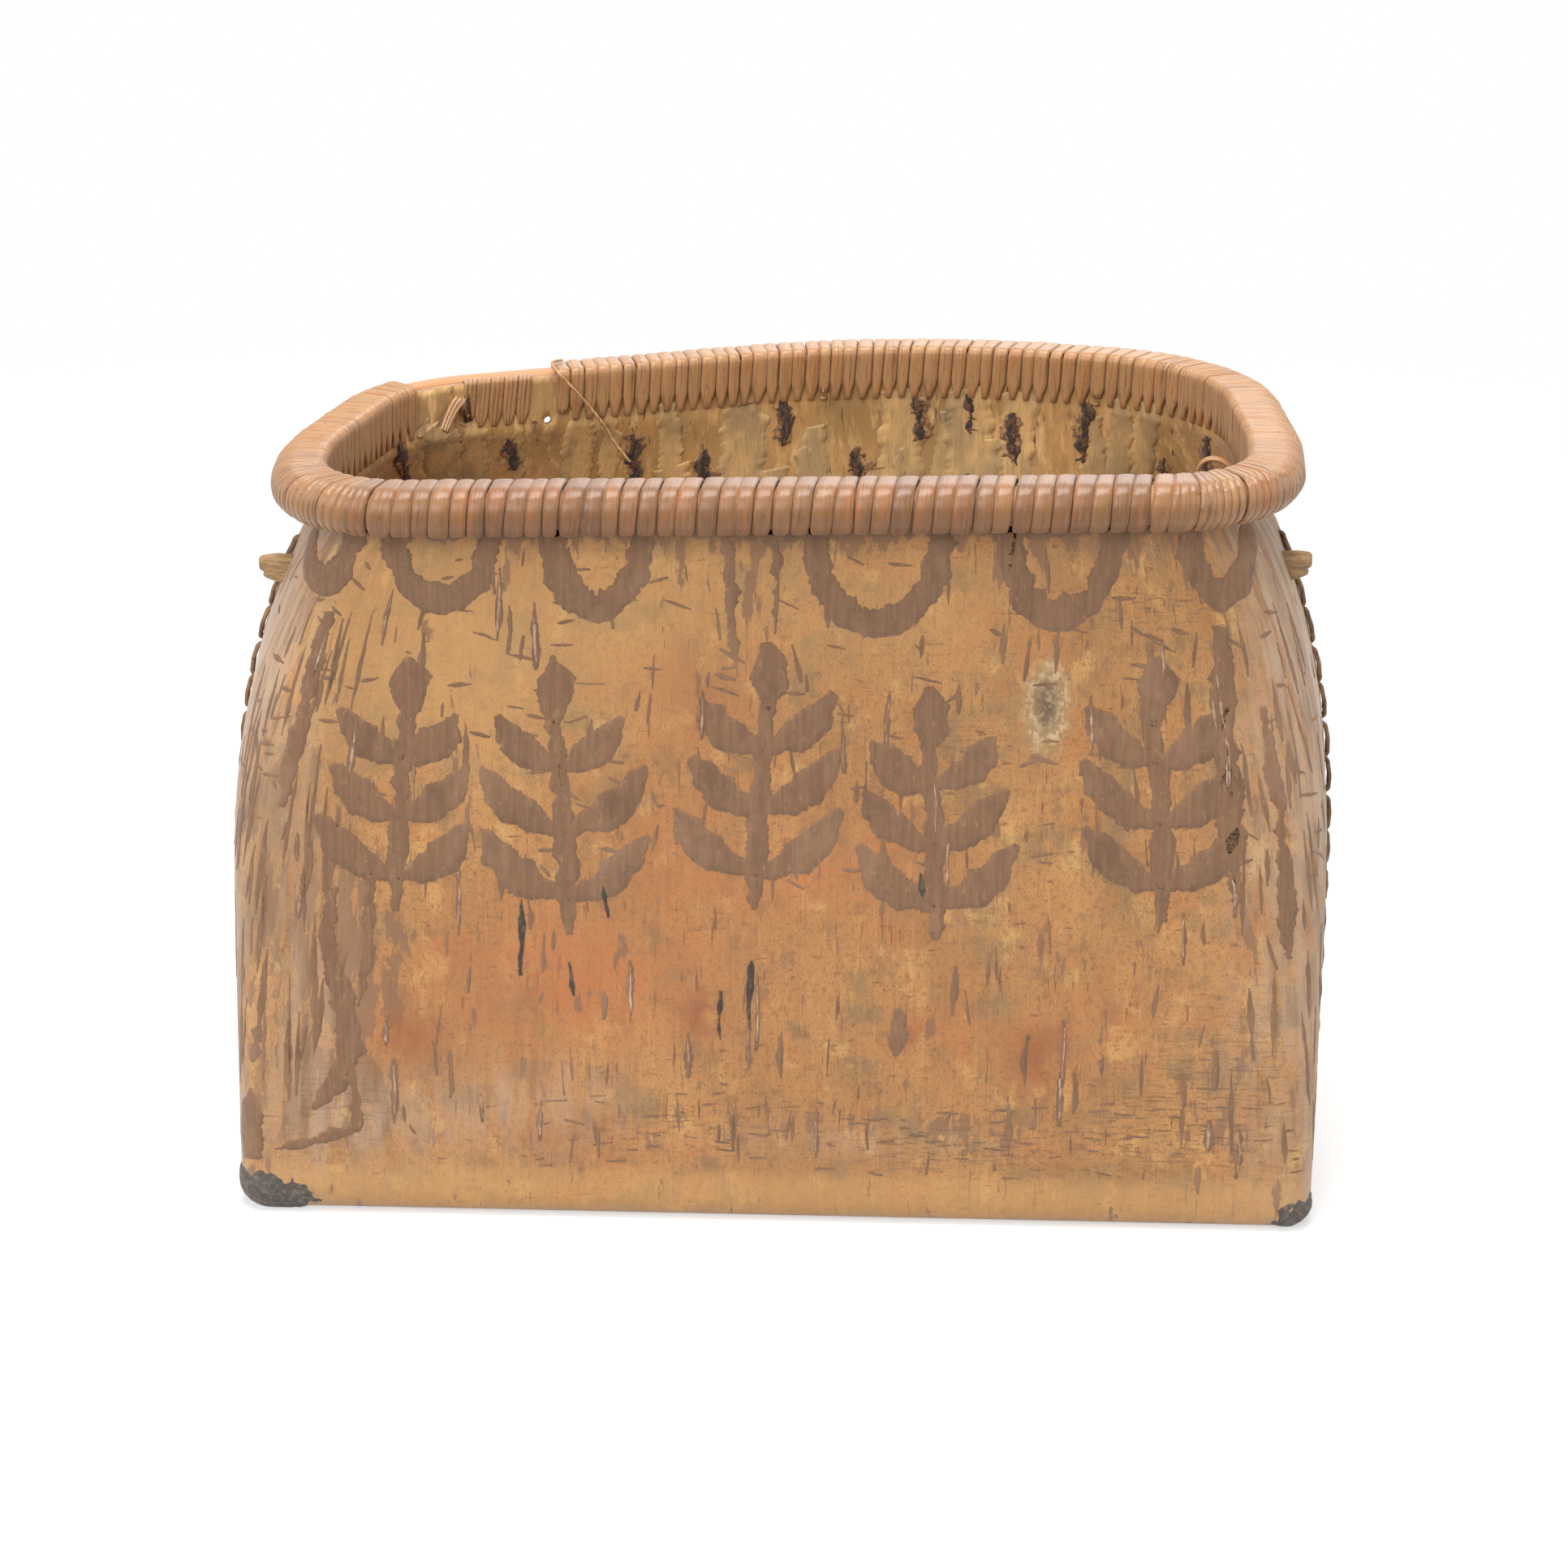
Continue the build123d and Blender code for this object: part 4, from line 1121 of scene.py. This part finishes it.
def gum_smear(right, material):
    """Gum over a bottom corner: thickest in the middle, sunk under the bark where it ends.

    Thickness is a soft hill over length and row, less a ragged edge of waves; where it
    is below nothing the smear lies inside the bark and is not seen.
    """
    bounds, middle, wide, tall = GUM_RIGHT if right else GUM_LEFT
    length = np.linspace(*bounds, 90)[None]
    row = np.linspace(0.05, row_of(17.0), 46)[:, None]
    height = np.interp(row, np.arange(ROWS), bark_heights)
    hill = 1.25 - ((length - middle) / wide) ** 2 - (np.maximum(height - 3.5, 0) / tall) ** 2
    hill = hill + 0.55 * waves(length, height * 1.2, 7, 31 + right)
    hill = hill + 0.2 * waves(length, height, 2.5, 33 + right)
    edge = smooth_step(0, 4, length - bounds[0]) * smooth_step(0, 4, bounds[1] - length)
    lift = np.clip(hill * 0.8, -0.35, 0.75) * edge - 0.35 * (1 - edge)
    length, row = np.broadcast_arrays(length + 0.0 * row, row)
    rows, columns = length.shape
    under = np.full(length.shape, -0.7)
    points = np.concatenate([on_bark(length, row, depth).reshape(-1, 3) for depth in (lift, under)])
    points[:, 2] = np.maximum(points[:, 2], 0.0)
    faces = grid_faces(rows, columns)
    count = rows * columns
    number = np.arange(count).reshape(rows, columns)
    rim = [number[0], number[1:, -1], number[-1, -2::-1], number[-2:0:-1, 0]]
    rim = np.concatenate(rim)
    after = np.roll(rim, -1)
    sides = np.stack([after, rim, rim + count, after + count], 1)
    faces = np.vstack([faces, faces[:, ::-1] + count, sides])
    node = "gum_right" if right else "gum_left"
    return piece(node + "_smear", points, faces, [material], "gum", [node])


def fibre(material):
    """Loose fibre: a curve through the control points of its route."""
    marks = np.array(FIBRE_MARKS)
    route = rim_spot(PLACES + marks[:, 0], marks[:, 1], marks[:, 2]) * MM
    curve = bpy.data.curves.new("loose_fibre_cord", "CURVE")
    curve.dimensions = "3D"
    curve.bevel_depth = FIBRE / 2 * MM
    curve.bevel_resolution = 3
    curve.resolution_u = 16
    curve.use_fill_caps = True
    spline = curve.splines.new("NURBS")
    spline.points.add(len(route) - 1)
    for point, spot in zip(spline.points, route):
        point.co = (*spot, 1.0)
    spline.order_u = 3
    spline.use_endpoint_u = True
    curve.materials.append(material)
    made = linked("loose_fibre_cord", curve)
    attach(made, "root")
    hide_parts("loose_fibre")
    return made


# Route of the fibre: rim places from the lashing's end, outward and upward of the rim line
FIBRE_MARKS = [
    (-0.5, 4.6, 7.6),
    (0.3, 2.2, 8.2),
    (0.6, -0.8, 8.0),
    (0.2, -3.6, 5.6),
    (-0.9, -4.2, 0.8),
    (-2.0, -4.0, -4.6),
    (-3.1, -4.4, -10.6),
    (-3.8, -3.6, -16.2),
    (-4.9, -4.2, -21.6),
]


# Materials


def colour(code):
    """Linear colour of an sRGB hex code."""
    values = [int(code[place : place + 2], 16) / 255 for place in (0, 2, 4)]
    linear = [value / 12.92 if value <= 0.04045 else ((value + 0.055) / 1.055) ** 2.4 for value in values]
    return (*linear, 1.0)


def put(tree, kind, inputs=None, out=0, **settings):
    """Adds a shader node, sets its inputs from sockets or values, and gives one output."""
    made = tree.nodes.new("ShaderNode" + kind)
    for name, value in settings.items():
        setattr(made, name, value)
    for key, value in (inputs or {}).items():
        if isinstance(value, bpy.types.NodeSocket):
            tree.links.new(value, made.inputs[key])
        else:
            made.inputs[key].default_value = value
    return made.outputs[out]


def material_of(name, base, rough, relief, patterns, sheet=False, sheen=0.12, gloss=0.5, fade=None):
    """Material of a base colour with patterns laid over it in turn.

    A pattern is its colour, its strength, the noise's cycles in a millimetre on each
    axis, its detail, and two levels: its share rises from nothing at the first level to
    its strength at the second. An attribute may follow, which multiplies the share, or
    with a number after it raises the noise by that much. With no cycles the attribute
    alone is the share. Relief is a depth in millimetres, then the patterns that give it.
    With fade the surface thins out between those two distances from the origin.
    """
    made = bpy.data.materials.new(name)
    made.use_nodes = True
    tree = made.node_tree
    tree.nodes.clear()
    place = put(tree, "TexCoord", out="Object")
    where = put(tree, "UVMap", uv_map="sheet") if sheet else place
    tint, height = colour(base), 0.0
    for number, (shade, strength, cycles, detail, low, high, *more) in enumerate(patterns):
        held = put(tree, "Attribute", out="Fac", attribute_name=more[0]) if more else None
        if cycles is None:
            share = put(tree, "Math", {0: held, 1: strength}, operation="MULTIPLY")
        else:
            stretch = tuple(1000.0 * value for value in cycles)
            spread = put(tree, "VectorMath", {0: where, 1: stretch}, operation="MULTIPLY")
            noise = {"Vector": spread, "Scale": 1.0, "Detail": detail, "Roughness": 0.65}
            field = put(tree, "TexNoise", noise)
            if number in relief[1:]:
                height = put(tree, "Math", {0: height, 1: field}, operation="ADD")
            if more[1:]:
                field = put(tree, "Math", {0: held, 1: more[1], 2: field}, operation="MULTIPLY_ADD")
            limits = {"Value": field, "From Min": low, "From Max": high, "To Max": strength}
            share = put(tree, "MapRange", limits, interpolation_type="SMOOTHSTEP")
            if len(more) == 1:
                share = put(tree, "Math", {0: share, 1: held}, operation="MULTIPLY")
        layers = {0: share, 6: tint, 7: colour(shade)}
        tint = put(tree, "Mix", layers, out=2, data_type="RGBA", clamp_factor=True)
    normal = put(tree, "Bump", {"Height": height, "Distance": relief[0] * MM, "Strength": 1.0})
    facts = {"Base Color": tint, "Roughness": rough, "Normal": normal}
    facts |= {"Sheen Weight": sheen, "Specular IOR Level": gloss}
    if fade:
        far = put(tree, "VectorMath", {0: place}, out="Value", operation="LENGTH")
        limits = {"Value": far, "From Min": fade[1], "From Max": fade[0], "To Max": 0.5}
        facts["Alpha"] = put(tree, "MapRange", limits, interpolation_type="SMOOTHSTEP")
    surface = put(tree, "BsdfPrincipled", facts)
    shown = tree.nodes.new("ShaderNodeOutputMaterial")
    tree.links.new(surface, shown.inputs["Surface"])
    return made


# Birch bark folded with its inner face outward and scraped: satin ochre with orange and
# olive clouds, upright fibres, specks and dashes of brown film, rust stains and a knot;
# the bottom fold is made paler as painted light, and the end corners greyer as painted sheen
outer_patterns = [
    ("ad7c46", 1.0, (0.03, 0.014, 1), 4, 0.36, 0.66),
    ("ac6a34", 0.6, (0.045, 0.028, 1), 4, 0.5, 0.66),
    ("7f6644", 0.75, (0.06, 0.05, 1), 6, 0.5, 0.66),
    ("7a5c38", 0.6, (0.13, 0.1, 1), 7, 0.53, 0.63),
    ("c69c5c", 0.6, (0.09, 0.06, 1), 6, 0.53, 0.68),
    ("7d5530", 0.6, (1.1, 0.035, 1), 5, 0.52, 0.75),
    ("bd905a", 0.35, (0.8, 0.05, 1), 4, 0.5, 0.28),
    ("654122", 0.8, (2.0, 1.1, 1), 3, 0.53, 0.7),
    ("855a33", 0.7, (0.6, 0.4, 1), 5, 0.52, 0.64),
    ("694428", 0.8, (0.16, 0.6, 1), 4, 0.625, 0.67),
    ("5f3d25", 0.8, (0.5, 0.05, 1), 3, 0.635, 0.675),
    ("aa6536", 0.9, (0.035, 0.05, 1), 5, 0.3, 0.6, "warm"),
    # paler colour: painted light on the bottom fold, and paler patches of the front
    ("bd9159", 0.5, None, 0, 0, 0, "pale_and_painted_light"),
    ("7a573a", 0.85, (0.2, 0.055, 1), 7, 0.615, 0.64, "cover", 0.22),
    # greyer colour: grey patches, and painted sheen where the walls turn to the ends
    ("b0957a", 0.85, (0.25, 0.03, 1), 5, 0.32, 0.62, "grey_and_sheen"),
    ("55412e", 0.85, (0.14, 1.1, 1), 6, 0.53, 0.6, "mark"),
    ("8a4c25", 1.0, (0.05, 0.05, 1), 5, 0.2, 0.55, "stain"),
    ("9a7a50", 0.9, (0.7, 0.4, 1), 5, 0.22, 0.45, "knot"),
    ("c8b08a", 0.8, (0.5, 0.35, 1), 6, 0.46, 0.6, "knot"),
    ("54442f", 0.9, None, 0, 0, 0, "pit"),
    ("a08a66", 0.9, (0.45, 0.4, 1), 6, 0.48, 0.6, "pit"),
]
outer_bark = material_of("birch_bark_scraped", "9a6b3c", 0.62, (0.12, 5, 7), outer_patterns, True, 0.2)

# Brown film of the bark's inner face where it was not scraped off: dull and a little proud
film_patterns = [
    ("7f5d40", 1.0, (0.9, 0.9, 0.05), 5, 0.3, 0.7),
    ("5f432c", 0.7, (0.12, 0.12, 0.05), 5, 0.52, 0.7),
    ("664731", 0.6, (0.5, 0.5, 0.5), 4, 0.52, 0.7),
    ("9c7653", 0.5, (0.6, 0.6, 0.3), 5, 0.42, 0.3),
    ("8c6a50", 0.5, (0.05, 0.05, 0.03), 4, 0.5, 0.65),
]
film = material_of("birch_bark_film", "6c4d34", 0.75, (0.12, 2), film_patterns, sheen=0.18)

# Papery outer face of the bark turned in: chalky tan and olive grey with rough dark lines
inner_patterns = [
    ("b88a52", 1.0, (0.05, 0.05, 0.03), 5, 0.35, 0.65),
    ("cca26a", 1.0, (0.35, 0.35, 0.09), 6, 0.48, 0.68),
    ("735c40", 0.8, (0.3, 0.3, 0.1), 6, 0.45, 0.28),
    ("3f2f22", 0.85, (0.6, 0.6, 0.05), 3, 0.63, 0.68),
]
inner_bark = material_of("birch_bark_papery", "9c7646", 0.8, (0.5, 1), inner_patterns)

# Split root wound wet and worn: low gloss, a tone for each turn and fine lines along it,
# and a paler colour painted as light at the back and as sheen round the ends
root_patterns = [
    ("8a5f36", 1.0, None, 0, 0, 0, "tone"),
    # painted light and sheen: paler towards the back and round both ends
    ("ab8055", 0.75, (0.05, 0.4, 1), 4, 0.1, 0.5, "faded"),
    ("4c301b", 0.65, (0.06, 1.6, 1), 4, 0.5, 0.7),
    ("a37647", 0.5, (0.07, 1.4, 1), 4, 0.46, 0.3),
    ("5b3a20", 0.65, (0.5, 0.9, 1), 3, 0.6, 0.7),
    ("95592a", 0.5, (0.04, 0.3, 1), 3, 0.52, 0.66),
]
root_wood = material_of("split_root_worn", "684326", 0.36, (0.12, 2), root_patterns, True, gloss=0.42)

# Old split root of the end seams: dry and dull, darker than the rim
seam_patterns = [("866442", 1.0, (0.08, 1.5, 1), 4, 0.35, 0.65)]
seam_patterns += [("452f1e", 0.7, (0.5, 0.9, 1), 3, 0.56, 0.7)]
seam_wood = material_of("split_root_old", "5d412a", 0.7, (0.2, 0), seam_patterns, True)

# Shaved pale wood of the hoop: satin with grain along it
hoop_patterns = [("b88050", 1.0, (0.02, 0.9, 1), 5, 0.3, 0.7)]
hoop_patterns += [("a06c40", 0.5, (0.03, 2.2, 1), 4, 0.58, 0.72)]
hoop_wood = material_of("hoop_wood_shaved", "a66f41", 0.55, (0.15, 0), hoop_patterns, True)

# Raw hide: dull, fibrous and uneven in tone
hide_patterns = [("b59367", 1.0, (0.2, 0.9, 1.4), 5, 0.3, 0.7)]
hide_patterns += [("735538", 0.7, (0.5, 0.5, 0.5), 4, 0.56, 0.7)]
hide = material_of("raw_hide", "87694a", 0.85, (0.4, 0), hide_patterns)

# Hardened tree gum: dull black, dusty on its high places
dust = [("776b61", 1.0, (0.6, 0.6, 0.6), 6, 0.44, 0.72)]
gum_black = material_of("tree_gum", "4b433c", 0.85, (0.8, 0), dust)

# Root fibre: brown, lighter in streaks
streaks = [("c09461", 1.0, (1.5, 1.5, 0.3), 3, 0.35, 0.65)]
fibre_brown = material_of("root_fibre", "8d6439", 0.6, (0.1, 0), streaks)

# Cork in the lenticels: matt, greyed and a little paler than the film round it
core_patterns = [("b39782", 1.0, (0.9, 0.9, 0.25), 3, 0.42, 0.62)]
core_patterns += [("644634", 0.7, (0.5, 0.5, 0.3), 3, 0.55, 0.65)]
core_cork = material_of("lenticel_cork", "87664f", 0.8, (0.1, 0), core_patterns)

# Black cork of the bark's outer face: rough and matt, brown where it is thin
thin_cork = [("6d4c30", 1.0, (0.8, 0.8, 0.5), 6, 0.42, 0.62)]
scar = material_of("black_cork", "2c221b", 0.9, (0.8, 0), thin_cork)

# Black cork on the front: the same with olive dust
olive_dust = [("5a4b38", 1.0, (0.7, 0.7, 0.4), 5, 0.45, 0.65)]
black_cork = material_of("black_cork_dusty", "352d24", 0.85, (0.2, 0), olive_dust)

# Crumbly brown cork beside the black lines
crumbs = [("b58a5a", 1.0, (0.9, 0.9, 0.5), 6, 0.4, 0.62)]
rusty = material_of("brown_cork", "6d4c2f", 0.9, (0.8, 0), crumbs)

# Torn layer of papery bark: chalky, pale tan to olive grey
layer_patterns = [
    ("c99f66", 1.0, (0.08, 0.08, 0.03), 5, 0.4, 0.6),
    ("8a6840", 0.5, (1.2, 1.2, 0.1), 4, 0.5, 0.7),
    ("76664b", 0.6, (0.1, 0.1, 0.05), 5, 0.55, 0.7),
]
layer = material_of("papery_layer", "a2845a", 0.8, (0.3, 1), layer_patterns)

# Matt white paper, with the faintest mottle
mottle = [("fafafa", 1.0, (0.04, 0.04, 0.04), 2, 0.0, 1.0)]
paper = material_of("backdrop_paper", "f6f6f6", 0.9, (0.0,), mottle, fade=(0.25, 0.95))


# Put together

fibre(fibre_brown)
bark_shell(outer_bark, inner_bark)
design_source = np.random.default_rng(21)
design = [loop_band(*loop, design_source) for loop in LOOPS]
for sprig in SPRIGS:
    design += sprig_bands(*sprig, design_source)
laid("bark_film_design", design, film)
fleck_source = np.random.default_rng(22)
scattered = smears(SMEARS, fleck_source) + flecks(FRONT_FLECKS, fleck_source)
borders, cores = lenticels(fleck_source)
laid("bark_film_flecks", scattered + borders, film, counted=fibre_rows)
laid("bark_lenticel_cores", cores, core_cork, counted=fibre_rows)
laid("bark_black_lenticels", [band(*marks, FILM * 1.5, fleck_source, 0.5) for marks in BLACKENED], black_cork)
laid("bark_back_flecks", flecks(BACK_FLECKS, fleck_source), film, "back", fibre_rows)
black_cores, halos = inner_scars(np.random.default_rng(23))
laid("bark_inner_scars", black_cores, scar, "inside")
laid("bark_inner_cork", halos, rusty, "inside")
laid("bark_inner_layers", paper_layers(70, np.random.default_rng(24), (3, 15)), layer, "inside")
hoop(hoop_wood)
for number in range(ROOT_COUNT):
    wound_root(number, root_wood)
under_root(root_wood)
root_end(root_wood)
for right in (True, False):
    seam_root(right, seam_wood)
    thong(right, hide)
    gum_smear(right, gum_black)

# Floor, light and camera

floor_mesh = bpy.data.meshes.new("floor")
floor_mesh.from_pydata([(-4, -3, 0), (4, -3, 0), (4, 6, 0), (-4, 6, 0)], [], [(0, 1, 2, 3)])
floor_mesh.materials.append(paper)
floor = linked("floor", floor_mesh)

world = bpy.data.worlds.new("studio")
bpy.context.scene.world = world
world.use_nodes = True
tree = world.node_tree
tree.nodes.clear()
seen = put(tree, "LightPath", out="Is Camera Ray")
for way in ("Is Glossy Ray", "Is Transmission Ray"):
    seen = put(tree, "Math", {0: seen, 1: put(tree, "LightPath", out=way)}, operation="MAXIMUM")
level = put(tree, "MapRange", {"Value": seen, "To Min": 0.4, "To Max": 1.0})
sky = put(tree, "Background", {"Color": (1, 1, 1, 1), "Strength": level})
shown = tree.nodes.new("ShaderNodeOutputWorld")
tree.links.new(sky, shown.inputs["Surface"])

LAMPS = [
    ("key", (-0.8, -1.85, 1.25), 1.3, 34.0),
    ("right", (1.8, -0.7, 0.8), 1.2, 12.0),
    ("left", (-1.8, -0.6, 0.8), 1.2, 8.0),
    ("top", (-0.05, -0.15, 1.5), 0.8, 25.0),
    ("back", (0.4, 1.7, 1.3), 1.3, 12.0),
]
for name, place, size, power in LAMPS:
    lamp = bpy.data.lights.new(name, "AREA")
    lamp.shape = "SQUARE"
    lamp.size = size
    lamp.energy = power
    made = linked(name, lamp)
    made.location = place
    aim = mathutils.Vector((0, 0, 0.1)) - made.location
    made.rotation_euler = aim.to_track_quat("-Z", "Y").to_euler()

camera_data = bpy.data.cameras.new("camera")
camera_data.sensor_width = 36.0
camera_data.lens = FOCAL_PIXELS / IMAGE * 36.0
camera = linked("camera", camera_data)
level, turn = math.radians(CAMERA_HEIGHT), math.radians(CAMERA_TURN)
off = mathutils.Vector((math.cos(level) * math.sin(turn), -math.cos(level) * math.cos(turn), math.sin(level)))
camera.location = mathutils.Vector(CAMERA_TARGET) + off * CAMERA_DISTANCE
facing = (-off).to_track_quat("-Z", "Y")
camera.rotation_euler = (facing @ mathutils.Quaternion((0, 0, 1), math.radians(CAMERA_ROLL))).to_euler()
bpy.context.scene.camera = camera
bpy.context.scene.view_settings.view_transform = "Standard"
